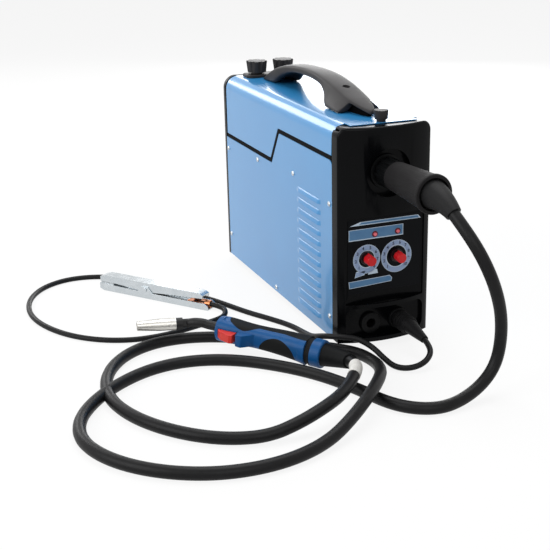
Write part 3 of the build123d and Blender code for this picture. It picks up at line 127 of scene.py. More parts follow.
world = bpy.data.worlds.new("studio")
bpy.context.scene.world = world
world.use_nodes = True
world.node_tree.nodes.clear()
sky_light = add_node(world.node_tree, "ShaderNodeBackground", {
    "Color": colour("#ffffff"), "Strength": 0.35})
sky_seen = add_node(world.node_tree, "ShaderNodeBackground", {
    "Color": colour("#ffffff"), "Strength": 1.0})
sky = add_node(world.node_tree, "ShaderNodeMixShader", {
    "Fac": seen_white(world.node_tree), 1: sky_light, 2: sky_seen})
add_node(world.node_tree, "ShaderNodeOutputWorld", {"Surface": sky})


def soft_box(name, place, target, size, power):
    """A square soft box aimed at a point."""
    lamp = bpy.data.lights.new(name, "AREA")
    lamp.shape = "SQUARE"
    lamp.size = size
    lamp.energy = power
    holder = placed(name, lamp)
    holder.location = place
    aim = Vector(target) - Vector(place)
    holder.rotation_euler = aim.to_track_quat("-Z", "Y").to_euler()
    holder.visible_camera = False


soft_box("left_soft_box", (-2.4, -0.5, 1.3), (0, 0, 0.15), 1.8, 34)
soft_box("top_soft_box", (0.2, 0.4, 2.4), (0, -0.1, 0), 1.7, 36)
soft_box("front_soft_box", (-0.6, -2.6, 1.6), (0, -0.2, 0.1), 1.4, 12)
soft_box("back_soft_box", (-0.75, 2.2, 1.15), (0, 0, 0.3), 0.8, 10)
# The far box stands where the flat top of the lid mirrors it to the camera.
lid_middle = Vector((0.03, -0.12, 0.315))
onward = (lid_middle - CAMERA_PLACE).normalized()
onward.z = -onward.z
soft_box("far_soft_box", lid_middle + FAR_BOX_DISTANCE * onward, lid_middle, 1.1, 15)


# ---------------------------------------------------------------- torch hose
# Coaxial torch hose: a black PVC jacket over the gas tube, wire liner and copper strands. It
# droops from the plug and lies on the floor in two open loops. White woven tape is wrapped
# round it close to the torch's boot.
HOSE_DIAMETER = 0.016
HOSE_ROUTE = [
    (0, -0.410, 0.238), (0.006, -0.436, 0.219), (0.020, -0.452, 0.188),
    (0.037, -0.454, 0.150), (0.052, -0.446, 0.110), (0.058, -0.438, 0.069),
    (0.051, -0.438, 0.039), (0.029, -0.443, 0.019), (-0.005, -0.453, 0.0095),
    (-0.038, -0.459, 0.008), (-0.068, -0.446, 0.008), (-0.090, -0.418, 0.008),
    (-0.104, -0.374, 0.008), (-0.124, -0.324, 0.008), (-0.148, -0.284, 0.008),
    (-0.180, -0.246, 0.008), (-0.214, -0.216, 0.008), (-0.252, -0.196, 0.008),
    (-0.294, -0.189, 0.008), (-0.338, -0.198, 0.008), (-0.382, -0.224, 0.008),
    (-0.420, -0.260, 0.008), (-0.448, -0.304, 0.008), (-0.457, -0.352, 0.008),
    (-0.446, -0.398, 0.008), (-0.420, -0.440, 0.008), (-0.382, -0.474, 0.008),
    (-0.338, -0.496, 0.008), (-0.290, -0.504, 0.008), (-0.242, -0.498, 0.008),
    (-0.196, -0.480, 0.010), (-0.156, -0.456, 0.020), (-0.118, -0.424, 0.028),
    (-0.084, -0.384, 0.028), (-0.062, -0.342, 0.018), (-0.050, -0.300, 0.009),
    (-0.056, -0.262, 0.008), (-0.082, -0.232, 0.008), (-0.114, -0.204, 0.008),
    (-0.146, -0.174, 0.008), (-0.180, -0.146, 0.008), (-0.216, -0.124, 0.008),
    (-0.256, -0.110, 0.008), (-0.300, -0.110, 0.008), (-0.342, -0.130, 0.008),
    (-0.374, -0.166, 0.008), (-0.394, -0.212, 0.008), (-0.400, -0.262, 0.008),
    (-0.390, -0.312, 0.008), (-0.368, -0.358, 0.008), (-0.336, -0.398, 0.008),
    (-0.298, -0.426, 0.008), (-0.256, -0.441, 0.010), (-0.216, -0.440, 0.019),
    (-0.178, -0.429, 0.027), (-0.150, -0.410, 0.028), (-0.124, -0.382, 0.028),
    (-0.099, -0.347, 0.028), (-0.0915, -0.323, 0.023), (-0.090, -0.307, 0.0195),
]
LABEL_FROM_BOOT = 0.026
LABEL_LENGTH = 0.042
LABEL_THICK = 0.0006
ROUND_SIDES = 24


def start_material(name, code, roughness, metallic=0.0, **shader_values):
    """A material with its constant shader values set, and its object coordinates."""
    material = bpy.data.materials.new(name)
    material.use_nodes = True
    tree = material.node_tree
    shader = tree.nodes["Principled BSDF"]
    shader.inputs["Base Color"].default_value = colour(code)
    shader.inputs["Roughness"].default_value = roughness
    shader.inputs["Metallic"].default_value = metallic
    for socket, value in shader_values.items():
        shader.inputs[socket.replace("_", " ")].default_value = value
    place = add_node(tree, "ShaderNodeTexCoord").outputs["Object"]
    return material, tree, shader, place


def shaded(tree, shader, factor, low, high):
    """The base colour runs from one hex value to another along a factor."""
    mix = add_node(tree, "ShaderNodeMix", {"Factor": factor}, data_type="RGBA")
    mix.inputs["A"].default_value = colour(low)
    mix.inputs["B"].default_value = colour(high)
    tree.links.new(mix.outputs["Result"], shader.inputs["Base Color"])


def raised(tree, shader, height, strength, distance):
    """The surface is raised by a height texture, distance being its depth in metres."""
    bump = add_node(tree, "ShaderNodeBump", {
        "Height": height, "Strength": strength, "Distance": distance})
    tree.links.new(bump.outputs["Normal"], shader.inputs["Normal"])


def extruded_pvc(name, code, dusty):
    """Extruded soft jacket: satin black with dusty waves 11 mm long and a fine 1.1 mm grain."""
    material, tree, shader, place = start_material(name, code, 0.42, Specular_IOR_Level=0.16)
    waves = add_node(tree, "ShaderNodeTexNoise", {"Vector": place, "Scale": 90.0, "Detail": 3.0})
    shaded(tree, shader, waves, code, dusty)
    grain = add_node(tree, "ShaderNodeTexNoise", {"Vector": place, "Scale": 900.0, "Detail": 2.0})
    raised(tree, shader, grain, 0.25, 0.0003)
    return material


def woven_label(name, code, shade):
    """White woven tape: slightly soiled, its ribs drawn 10 mm apart, coarser than real ones."""
    material, tree, shader, place = start_material(name, code, 0.75, Specular_IOR_Level=0.2)
    soil = add_node(tree, "ShaderNodeTexNoise", {"Vector": place, "Scale": 140.0, "Detail": 3.0})
    shaded(tree, shader, soil, shade, code)
    # A scale of 1000 / 28 gives a rib each 10 mm across the diagonal.
    ribs = add_node(tree, "ShaderNodeTexWave", {
        "Vector": place, "Scale": 1000 / 28, "Distortion": 1.0},
        wave_type="BANDS", bands_direction="DIAGONAL", wave_profile="SIN")
    raised(tree, shader, ribs.outputs["Fac"], 0.6, 0.0004)
    return material


def cord_curve(name, route, diameter, material):
    """A round cord on a smooth spline that is drawn towards each point of its route."""
    curve = bpy.data.curves.new(name, "CURVE")
    curve.dimensions = "3D"
    curve.bevel_depth = diameter / 2
    curve.bevel_resolution = 6
    curve.resolution_u = 10
    curve.use_fill_caps = True
    spline = curve.splines.new("NURBS")
    spline.points.add(len(route) - 1)
    for point, at in zip(spline.points, route):
        point.co = (*at, 1)
    spline.order_u = 3
    spline.use_endpoint_u = True
    curve.materials.append(material)
    return placed(name, curve)


def made_mesh(thing):
    """A plain mesh of what an object's curve, text or modifiers come to."""
    ready = thing.evaluated_get(bpy.context.evaluated_depsgraph_get())
    return bpy.data.meshes.new_from_object(ready)


def line_of(cord):
    """The points of a cord's own spline, from its exit to its far end."""
    plain = cord.data.copy()
    plain.bevel_depth = 0
    holder = placed("line", plain)
    mesh = made_mesh(holder)
    points = [v.co.copy() for v in mesh.vertices]
    bpy.data.objects.remove(holder)
    bpy.data.curves.remove(plain)
    bpy.data.meshes.remove(mesh)
    return points


def heading(points, n):
    """The way along a row of points at one of them."""
    return (points[min(n + 1, len(points) - 1)] - points[max(n - 1, 0)]).normalized()


def round_turns():
    """The cosine and the sine of each evenly spaced point round a circle."""
    angles = [math.tau * n / ROUND_SIDES for n in range(ROUND_SIDES)]
    return [(math.cos(angle), math.sin(angle)) for angle in angles]


def skinned(form, rings, ends=(0, -1)):
    """A skin over a row of rings of points, closed at its ends and facing outwards."""
    for near, far in zip(rings, rings[1:]):
        for n in range(len(near)):
            m = (n + 1) % len(near)
            form.faces.new((near[n], near[m], far[m], far[n]))
    for end in ends:
        form.faces.new(rings[end])
    bmesh.ops.recalc_face_normals(form, faces=form.faces)


def piece_from(name, form, material):
    """A new piece from a bmesh, at the origin and in its finish."""
    mesh = bpy.data.meshes.new(name)
    form.to_mesh(mesh)
    form.free()
    mesh.materials.append(material)
    return placed(name, mesh)


def softly_lit(piece, sharp):
    """Smooth shading that breaks at edges sharper than an angle in degrees."""
    for face in piece.data.polygons:
        face.use_smooth = True
    piece.data.set_sharp_from_angle(angle=math.radians(sharp))


hose_pvc = extruded_pvc("extruded_pvc_hose", "#09090a", "#141415")
torch_hose = cord_curve("torch_hose_jacket", HOSE_ROUTE, HOSE_DIAMETER, hose_pvc)
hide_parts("torch_hose")
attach(torch_hose, "casing")

wrapped, run = [], 0.0
hose_line = line_of(torch_hose)[::-1]
for last, here in zip(hose_line, hose_line[1:]):
    run += (here - last).length
    if LABEL_FROM_BOOT < run < LABEL_FROM_BOOT + LABEL_LENGTH:
        wrapped.append(here)
tape = bmesh.new()
tape_rings = []
for n, at in enumerate(wrapped):
    way = heading(wrapped, n)
    across = way.cross(Vector((0, 0, 1))).normalized()
    over = across.cross(way)
    tape_rings.append([tape.verts.new(at + (HOSE_DIAMETER / 2 + LABEL_THICK) * (
        across * cosine + over * sine)) for cosine, sine in round_turns()])
skinned(tape, tape_rings)
hose_label = piece_from("white_hose_label", tape,
                        woven_label("white_woven_tape", "#e9e8e4", "#cfcdc8"))
softly_lit(hose_label, 50)
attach(hose_label, "casing")


# ---------------------------------------------------------------- earth cable
# Limp rubber-jacketed copper cable, from the plug in the front bay round the casing's corner,
# once round on the floor and into the handle of the clamp.
CABLE_DIAMETER = 0.008
CABLE_ROUTE = [
    (0.026, -0.300, 0.027), (0.026, -0.318, 0.022), (0.015, -0.333, 0.015),
    (-0.002, -0.338, 0.009), (-0.019, -0.333, 0.006), (-0.031, -0.320, 0.006),
    (-0.035, -0.298, 0.010), (-0.041, -0.276, 0.019), (-0.056, -0.258, 0.028),
    (-0.079, -0.247, 0.030), (-0.094, -0.226, 0.026), (-0.095, -0.194, 0.013),
    (-0.092, -0.160, 0.005), (-0.098, -0.122, 0.004), (-0.116, -0.084, 0.004),
    (-0.137, -0.046, 0.004), (-0.152, -0.010, 0.004), (-0.168, 0.028, 0.004),
    (-0.190, 0.066, 0.004), (-0.214, 0.104, 0.004), (-0.240, 0.146, 0.004),
    (-0.270, 0.188, 0.004), (-0.308, 0.213, 0.004), (-0.352, 0.218, 0.004),
    (-0.392, 0.198, 0.004), (-0.420, 0.160, 0.004), (-0.434, 0.112, 0.004),
    (-0.434, 0.062, 0.004), (-0.420, 0.014, 0.004), (-0.396, -0.028, 0.004),
    (-0.362, -0.060, 0.004), (-0.322, -0.078, 0.004), (-0.284, -0.080, 0.004),
    (-0.248, -0.073, 0.004), (-0.213, -0.062, 0.004), (-0.179, -0.0505, 0.004),
    (-0.1665, -0.0325, 0.005), (-0.1665, -0.013, 0.0064), (-0.178, 0.002, 0.0072),
]
cable_rubber = extruded_pvc("extruded_rubber_cable", "#09090a", "#141415")
earth_cable = cord_curve("earth_cable_jacket", CABLE_ROUTE, CABLE_DIAMETER, cable_rubber)
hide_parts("earth_cable")
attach(earth_cable, "casing")


# ---------------------------------------------------------------- tray, feet and inner sheets
# The tray and the upright wall with its shelf are bent galvanised steel, spot-welded. Four
# tapered rubber feet are screwed under the tray.
EASED_ANGLE = 34


def mottled(name, code, bright, roughness, patch):
    """Bare metal: colour and gloss drift in patches, their size given in millimetres."""
    material, tree, shader, place = start_material(name, code, roughness, 1.0)
    patches = add_node(tree, "ShaderNodeTexVoronoi", {"Vector": place, "Scale": 1000 / patch})
    haze = add_node(tree, "ShaderNodeTexNoise", {
        "Vector": place, "Scale": 400 / patch, "Detail": 4.0})
    both = add_node(tree, "ShaderNodeMix", {"Factor": 0.5}, data_type="RGBA")
    tree.links.new(patches.outputs["Color"], both.inputs["A"])
    tree.links.new(haze.outputs["Color"], both.inputs["B"])
    level = add_node(tree, "ShaderNodeRGBToBW", {"Color": both.outputs["Result"]})
    shaded(tree, shader, level, code, bright)
    gloss = add_node(tree, "ShaderNodeMapRange", {
        "Value": level, "To Min": roughness - 0.1, "To Max": roughness + 0.12})
    tree.links.new(gloss.outputs["Result"], shader.inputs["Roughness"])
    return material


def moulded(name, code, worn, roughness, grain, depth, level=0.4):
    """Moulded plastic or rubber: a spark-eroded grain, its size and depth in millimetres."""
    material, tree, shader, place = start_material(
        name, code, roughness, Specular_IOR_Level=level)
    drift = add_node(tree, "ShaderNodeTexNoise", {
        "Vector": place, "Scale": 28.0, "Detail": 4.0, "Roughness": 0.6})
    shaded(tree, shader, drift, code, worn)
    texture = add_node(tree, "ShaderNodeTexVoronoi", {"Vector": place, "Scale": 1000 / grain})
    raised(tree, shader, texture, 0.5, depth / 1000)
    return material


def rolled_edges(piece, width, sharp):
    """A live bevel on the edges sharper than an angle in degrees."""
    rolled = piece.modifiers.new("rolled_edges", "BEVEL")
    rolled.width = width
    rolled.segments = 2
    rolled.limit_method = "ANGLE"
    rolled.angle_limit = math.radians(sharp)
    return rolled


def eased(name, node, edge, material, body):
    """A CAD piece's own shape with its corners broken, edge being their radius in metres."""
    form = bmesh.new()
    form.from_mesh(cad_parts[node].data)
    bmesh.ops.remove_doubles(form, verts=form.verts, dist=0.00002)
    bmesh.ops.dissolve_limit(form, angle_limit=math.radians(0.6), verts=form.verts,
                             edges=form.edges)
    piece = piece_from(name, form, material)
    softly_lit(piece, EASED_ANGLE)
    rolled_edges(piece, edge, EASED_ANGLE).harden_normals = True
    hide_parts(node)
    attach(piece, body)


def finished(material, *nodes):
    """CAD pieces keep their shape and get their finish."""
    for node in nodes:
        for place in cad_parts[node].material_slots:
            place.material = material


# Dipped zinc has pale spangles, about 9 mm across, and the rubber is dull with a fine grain.
galvanised = mottled("hot_dip_galvanised_steel", "#8d9396", "#b9bec0", 0.42, 9)
foot_rubber = moulded("moulded_rubber_feet", "#0e0e0f", "#19191a", 0.7, 0.9, 0.08)
finished(galvanised, "base_tray", "centre_wall")
eased("screwed_rubber_feet", "rubber_feet", 0.0008, foot_rubber, "casing")


# ---------------------------------------------------------------- power electronics
# Behind the wall and under the shelf: pale extruded aluminium heatsink, wound choke and dull
# grey ferrite transformer, green epoxy boards on pillars with their capacitors, and the moulded
# cooling fan.
heatsink_metal = mottled("extruded_aluminium", "#a9adb0", "#c9cccd", 0.4, 22)
ferrite = moulded("sintered_ferrite", "#26272a", "#393a3c", 0.6, 0.6, 0.05)
board_resin = moulded("glass_epoxy_circuit_board", "#1c4a2c", "#27623a", 0.4, 1.1, 0.03)
fan_plastic = moulded("moulded_fan_plastic", "#101112", "#1c1d1e", 0.5, 0.7, 0.03)
finished(heatsink_metal, "heatsink")
finished(ferrite, "choke_and_transformer")
finished(board_resin, "power_board", "control_board")
finished(fan_plastic, "fan_frame", "fan_rotor")


# ---------------------------------------------------------------- wire spool and feeder
# The wire spool runs on a moulded hub. The feeder is a die-cast plate with a gearmotor behind
# it, two steel rolls, a sprung idler arm and its knurled tension screw.
def wound_wire():
    """Copper-coated wire in level turns, drawn 10 mm apart, far coarser than the real ones."""
    material, tree, shader, place = start_material(
        "copper_coated_welding_wire", "#b4683c", 0.32, 1.0)
    # A scale of 1000 / 32 gives a band each 10 mm.
    turns = add_node(tree, "ShaderNodeTexWave", {
        "Vector": place, "Scale": 1000 / 32, "Distortion": 0.6, "Detail": 2.0},
        wave_type="BANDS", bands_direction="X", wave_profile="SIN")
    # The colour darkens into the grooves between the turns as painted shade, and lightens on their
    # crests as painted highlight.
    shaded(tree, shader, turns.outputs["Fac"], "#5f3018", "#cf8453")
    raised(tree, shader, turns.outputs["Fac"], 0.8, 0.0006)
    return material


# The cast zinc is dull and even beside the brighter turned steel. The plastics are satin.
spool_plastic = moulded("moulded_spool_polystyrene", "#2b2d30", "#3a3c3f", 0.45, 0.9, 0.04)
hub_nylon = moulded("moulded_hub_nylon", "#0f1011", "#1b1c1d", 0.5, 0.8, 0.04)
knob_nylon = moulded("moulded_knob_nylon", "#121314", "#1f2021", 0.45, 0.8, 0.04)
cast_zinc = mottled("die_cast_zinc", "#85898c", "#a2a6a8", 0.5, 6)
turned_steel = mottled("turned_zinc_plated_steel", "#b5babd", "#dcdfe0", 0.3, 5)
motor_paint = moulded("painted_motor_can", "#1a1b1d", "#2a2b2d", 0.42, 0.8, 0.04)
finished(wound_wire(), "wire_coil")
finished(spool_plastic, "wire_spool")
finished(hub_nylon, "spool_hub")
finished(cast_zinc, "feed_plate", "pressure_arm")
finished(motor_paint, "feed_motor")
finished(turned_steel, "drive_roll", "pressure_roll")
finished(knob_nylon, "tension_knob")


# ---------------------------------------------------------------- side panels
# Powder-coated sheet steel, pressed: the lid's stepped line is cut out of the top edge with
# rounded corners, and a column of louvres is lanced and raised near the front.
CASE_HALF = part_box("lid")[1][0]
SHEET = 0.0012
STEP_RISE = 0.051
STEP_REAR = 0.0138
STEP_FRONT = -0.0182
STEP_CORNER = 0.004
FRONT_CORNER = 0.010
LOUVRE_COUNT = 12
LOUVRE_PITCH = 0.0154
LOUVRE_FIRST = 0.030
LOUVRE_MIDDLE = -0.126
LOUVRE_LENGTH = 0.086
REAR_RAMP = 0.014
FRONT_RAMP = 0.008
# Out from the sheet and up from the louvre's middle, in millimetres, round one hood.
HOOD_SECTION = [(-0.4, 3.4), (0.1, 3.3), (0.8, 2.6), (1.8, 0.6), (2.7, -1.8), (3.0, -3.0),
                (2.0, -3.0), (1.5, -1.2), (-0.4, 0.6)]
# How far along a hood's ramp, and the share of its full height there.
HOOD_RAMP = [(0, -0.04), (0.25, 0.22), (0.55, 0.66), (0.8, 0.92), (1, 1.0)]


def powder_coat(name, code, deep, roughness):
    """Glossy powder coat under a clear sheen: faint orange peel about 1.5 mm across."""
    material, tree, shader, place = start_material(
        name, code, roughness, Coat_Weight=0.55, Coat_Roughness=0.07)
    drift = add_node(tree, "ShaderNodeTexNoise", {"Vector": place, "Scale": 7.0, "Detail": 3.0})
    shaded(tree, shader, drift, deep, code)
    peel = add_node(tree, "ShaderNodeTexNoise", {
        "Vector": place, "Scale": 1000 / 1.5, "Detail": 1.0})
    raised(tree, shader, peel, 0.12, 0.0002)
    return material


def rounded_outline(corners):
    """Outline points from corners given as (y, z, radius), each corner turned in six steps."""
    points = []
    for n, (y, z, radius) in enumerate(corners):
        here = Vector((y, z))
        back = (Vector(corners[n - 1][:2]) - here).normalized()
        ahead = (Vector(corners[(n + 1) % len(corners)][:2]) - here).normalized()
        if not radius:
            points.append(here)
            continue
        reach = radius / math.tan(back.angle(ahead) / 2)
        start, end = here + back * reach, here + ahead * reach
        for step in range(7):
            t = step / 6
            points.append(start * (1 - t) ** 2 + here * 2 * t * (1 - t) + end * t ** 2)
    return points


def side_sheet(form, node, outward):
    """One flat side with the lid's step cut out of its top edge."""
    low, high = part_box(node)
    outline = rounded_outline([
        (low[1], low[2], 0), (high[1], low[2], 0), (high[1], high[2] - STEP_RISE, 0),
        (STEP_REAR, high[2] - STEP_RISE, STEP_CORNER), (STEP_FRONT, high[2], STEP_CORNER),
        (low[1], high[2], FRONT_CORNER)])
    skinned(form, [[form.verts.new((outward * half, p.x, p.y)) for p in outline]
                   for half in (CASE_HALF, CASE_HALF - SHEET)])


def louvre_hood(outward):
    """One raised hood at the first louvre's place, with long ramps at both ends."""
    form = bmesh.new()
    half = LOUVRE_LENGTH / 2
    places = [(FRONT_RAMP * t - half, share) for t, share in HOOD_RAMP]
    places += [(half - REAR_RAMP * t, share) for t, share in reversed(HOOD_RAMP)]
    skinned(form, [[form.verts.new((
        outward * (CASE_HALF + (out * share if out > 0 else out) / 1000),
        LOUVRE_MIDDLE + along, up / 1000)) for out, up in HOOD_SECTION]
        for along, share in places])
    mesh = bpy.data.meshes.new("louvre_hood")
    form.to_mesh(mesh)
    form.free()
    return mesh


def geometry_tree(name, **inputs):
    """A geometry tree with a shape, numbers, any object and a finish as its named inputs."""
    kinds = {int: "NodeSocketInt", float: "NodeSocketFloat", type(None): "NodeSocketObject"}
    tree = bpy.data.node_groups.new(name, "GeometryNodeTree")
    tree.interface.new_socket("Shape", in_out="INPUT", socket_type="NodeSocketGeometry")
    for label, value in inputs.items():
        socket = tree.interface.new_socket(
            label.replace("_", " "), in_out="INPUT", socket_type=kinds[type(value)])
        if value is not None:
            socket.default_value = value
    tree.interface.new_socket("Finish", in_out="INPUT", socket_type="NodeSocketMaterial")
    tree.interface.new_socket("Shape", in_out="OUTPUT", socket_type="NodeSocketGeometry")
    return tree, tree.nodes.new("NodeGroupInput").outputs


def end_tree(tree, given, instances):
    """The instances become real geometry in the given finish."""
    real = add_node(tree, "GeometryNodeRealizeInstances", {"Geometry": instances})
    finish = add_node(tree, "GeometryNodeSetMaterial", {
        "Geometry": real, "Material": given["Finish"]})
    add_node(tree, "NodeGroupOutput", {"Shape": finish})


def grown(name, tree, shape, **inputs):
    """A plain mesh piece that a geometry tree makes from a shape and its inputs."""
    piece = placed(name, shape)
    growth = piece.modifiers.new(name, "NODES")
    growth.node_group = tree
    for item in tree.interface.items_tree:
        label = item.name.replace(" ", "_")
        if item.in_out == "INPUT" and label in inputs:
            growth[item.identifier] = inputs[label]
    mesh = made_mesh(piece)
    piece.modifiers.remove(growth)
    piece.data = mesh
    return piece


blue_coat = powder_coat("blue_powder_coat", "#2e8bc6", "#277ebb", 0.3)
sheets = bmesh.new()
side_sheet(sheets, "side_panel_left", -1)
side_sheet(sheets, "side_panel_right", 1)
side_panels = piece_from("pressed_side_panels", sheets, blue_coat)
rolled_edges(side_panels, 0.0005, 30)
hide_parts("side_panel_left", "side_panel_right")
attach(side_panels, "casing")

louvre_rows, given = geometry_tree(
    "rows_of_louvres", Count=LOUVRE_COUNT, Pitch=LOUVRE_PITCH, First=LOUVRE_FIRST)
first_place = add_node(louvre_rows, "ShaderNodeCombineXYZ", {"Z": given["First"]})
next_place = add_node(louvre_rows, "ShaderNodeCombineXYZ", {"Z": given["Pitch"]})
row_places = add_node(louvre_rows, "GeometryNodeMeshLine", {
    "Count": given["Count"], "Start Location": first_place, "Offset": next_place},
    mode="OFFSET")
hoods = add_node(louvre_rows, "GeometryNodeInstanceOnPoints", {
    "Points": row_places, "Instance": given["Shape"]})
end_tree(louvre_rows, given, hoods)
for outward, side in ((-1, "left"), (1, "right")):
    louvres = grown("pressed_louvres_" + side, louvre_rows, louvre_hood(outward),
                    Count=LOUVRE_COUNT, Pitch=LOUVRE_PITCH, First=LOUVRE_FIRST,
                    Finish=blue_coat)
    softly_lit(louvres, 50)
    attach(louvres, "casing")


# ---------------------------------------------------------------- lid and its seal
# One bent sheet steel cover, powder-coated like the sides and hinged at the back. A black
# rubber edging, dull beside the paint, is pushed on along both stepped edges.
SEAL_HEIGHT = 0.0062
SEAL_THICK = 0.0022
SEAL_CORNER = 0.0045
SEAL_STEP_BACK = 0.0019


def edging_strip(form, outward):
    """One strip of even height, its top edge on the lid's stepped edge with rounded corners."""
    low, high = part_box("lid_edge_seal")
    top = high[2] - SEAL_HEIGHT / 2
    line = [(high[1], top - STEP_RISE, 0),
            (STEP_REAR + SEAL_STEP_BACK, top - STEP_RISE, SEAL_CORNER),
            (STEP_FRONT + SEAL_STEP_BACK, top, SEAL_CORNER), (low[1], top, 0)]
    # Two far corners close the outline, so that its ends stay square, and are then left out.
    away = [(low[1], top + 1, 0), (high[1], top + 1, 0)]
    middle = rounded_outline(line + away)[:-2]
    rings = []
    for n, at in enumerate(middle):
        way = heading(middle, n)
        side = Vector((-way.y, way.x)) * SEAL_HEIGHT / 2
        rings.append([form.verts.new((outward * x, p.x, p.y)) for x, p in (
            (high[0], at + side), (high[0], at - side),
            (high[0] - SEAL_THICK, at - side), (high[0] - SEAL_THICK, at + side))])
    skinned(form, rings)


eased("bent_steel_lid", "lid", 0.0006, blue_coat, "lid")
edging_rubber = moulded("extruded_rubber_edging", "#040405", "#0a0a0b", 0.7, 0.8, 0.04, 0.05)
strips = bmesh.new()
edging_strip(strips, -1)
edging_strip(strips, 1)
edging = piece_from("rubber_lid_edging", strips, edging_rubber)
rolled_edges(edging, 0.0007, 50)
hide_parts("lid_edge_seal")
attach(edging, "lid")
finished(turned_steel, "hinge_lid_leaf", "hinge_fixed_leaf")


# ---------------------------------------------------------------- front moulding
# Injection-moulded glossy ABS front: a bowed hood with a round recess for the torch socket, a
# recessed control panel and a rounded bay for the current sockets. It shines like polished
# black glass.
gloss_abs = moulded("glossy_moulded_abs", "#040405", "#08090b", 0.2, 2.6, 0.02, 0.07)
eased("moulded_front", "front_bezel", 0.0016, gloss_abs, "casing")


# ---------------------------------------------------------------- control panel
# A polyester film, screen-printed, is stuck to the panel: two slate strips and two ringed dials
# with plain numbers and ticks. Two red acrylic lenses are set above the dials, and each dial
# has a red nylon knob, its skirt darkened near the film as painted shade.
FILM_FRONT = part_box("control_label")[0][1]
# Middles on the panel, across and up.
POWER_DIAL = (-0.0272, 0.1286)
SPEED_DIAL = (0.0187, 0.1269)
LENS_PLACES = ((-0.015, 0.163), (0.020, 0.163))
DIAL_START = math.radians(-135)
DIAL_SWEEP = math.radians(270)
RING_STEPS = 72
NUMBER_HEIGHT = 0.0062
NUMBER_WEIGHT = 0.03
TICK_HALF_WIDTH = 0.00022
TICK_HALF_LENGTH = 0.0006
# How far the painted shade on a knob's skirt stands out from the film.
SKIRT_SHADE_REACH = 0.0075
# How far each layer of ink stands out from the film, and how far its edges run into it.
FIRST_INK = 0.00004
SECOND_INK = 0.00010
THIRD_INK = 0.00016
INK_ROOT = 0.0001


def screen_ink(name, code, faded):
    """Screen-printed ink on film: a faint mesh mark 0.5 mm apart and a slight fade."""
    material, tree, shader, place = start_material(name, code, 0.4, Specular_IOR_Level=0.3)
    fade = add_node(tree, "ShaderNodeTexNoise", {"Vector": place, "Scale": 60.0, "Detail": 3.0})
    shaded(tree, shader, fade, code, faded)
    threads = add_node(tree, "ShaderNodeTexVoronoi", {"Vector": place, "Scale": 1000 / 0.5})
    raised(tree, shader, threads, 0.3, 0.00002)
    return material


def flat_print(form, lift, *outlines):
    """Thin printed patches on the film, from outlines of (x, z) points in millimetres."""
    for outline in outlines:
        face = form.faces.new([form.verts.new((x / 1000, FILM_FRONT - lift, z / 1000))
                               for x, z in outline])
        for part in bmesh.ops.extrude_face_region(form, geom=[face])["geom"]:
            if isinstance(part, bmesh.types.BMVert):
                part.co.y = FILM_FRONT + INK_ROOT


def ring_print(form, middle, inner, outer, lift):
    """A flat printed ring."""
    rows = []
    for n in range(RING_STEPS + 1):
        angle = math.tau * n / RING_STEPS
        away = Vector((math.sin(angle), 0, math.cos(angle)))
        at = Vector((middle[0], FILM_FRONT - lift, middle[1]))
        rows.append([form.verts.new(at + away * inner), form.verts.new(at + away * outer)])
    for (a, b), (c, d) in zip(rows, rows[1:]):
        form.faces.new((a, c, d, b))


def printed(name, form, ink):
    """A finished print that rides with the panel."""
    bmesh.ops.remove_doubles(form, verts=form.verts, dist=0.000001)
    for face in form.faces:
        face.normal_update()
        if face.normal.y > 0.5:
            face.normal_flip()
    piece = piece_from(name, form, ink)
    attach(piece, "casing")


def dial_numbers(form, middle, radius, count):
    """Plain numbers from 1 up, clockwise round a dial."""
    for n in range(count):
        text = bpy.data.curves.new("number", "FONT")
        text.body = str(n + 1)
        text.size = NUMBER_HEIGHT
        text.align_x = "CENTER"
        text.align_y = "CENTER"
        text.offset = NUMBER_HEIGHT * NUMBER_WEIGHT
        holder = placed("number", text)
        mesh = made_mesh(holder)
        angle = DIAL_START + DIAL_SWEEP * n / (count - 1)
        at = (middle[0] + radius * math.sin(angle), middle[1] + radius * math.cos(angle))
        for v in mesh.vertices:
            v.co = (at[0] + v.co.x, FILM_FRONT - THIRD_INK, at[1] + v.co.y)
        form.from_mesh(mesh)
        bpy.data.meshes.remove(mesh)
        bpy.data.objects.remove(holder)
        bpy.data.curves.remove(text)


# The film is a satin near-black, against which the pale and slate inks stand out.
film_print = moulded("printed_polyester_film", "#040507", "#080a0e", 0.3, 1.0, 0.01, 0.07)
pale_ink = screen_ink("pale_screen_ink", "#c6d5e2", "#b0c2d4")
eased("control_panel_film", "control_label", 0.0002, film_print, "casing")

patches = bmesh.new()
flat_print(
    patches, FIRST_INK,
    [(-53.0, 177.8), (-37.6, 182.6), (51.4, 182.6), (55.8, 177.6)],
    [(-54.5, 156.7), (-54.5, 172.5), (28.5, 172.5), (28.5, 156.7)],
    [(-53.5, 88.5), (-54.5, 98.5), (8.5, 100.3), (12.2, 96.5), (11.2, 91.2)],
    [(-45.5, 103.2), (-43.2, 112.0), (-29.0, 113.0), (-30.3, 106.0)],
    [(-25.0, 105.7), (-24.0, 112.8), (-11.2, 112.2), (-9.8, 106.0)])
ring_print(patches, POWER_DIAL, 0.0118, 0.0207, FIRST_INK)
ring_print(patches, SPEED_DIAL, 0.0152, 0.0236, FIRST_INK)
printed("pale_panel_print", patches, pale_ink)

fields = bmesh.new()
flat_print(
    fields, SECOND_INK,
    [(-39.5, 178.9), (-35.5, 181.7), (50.7, 181.7), (53.2, 178.5)],
    [(-53.7, 158.0), (-53.7, 171.8), (27.6, 171.8), (27.6, 158.0)],
    [(-52.7, 89.3), (-53.6, 97.8), (8.2, 99.5), (11.3, 96.3), (10.5, 91.9)])
printed("slate_panel_print", fields, screen_ink("slate_blue_screen_ink", "#3f6a93", "#5783a8"))

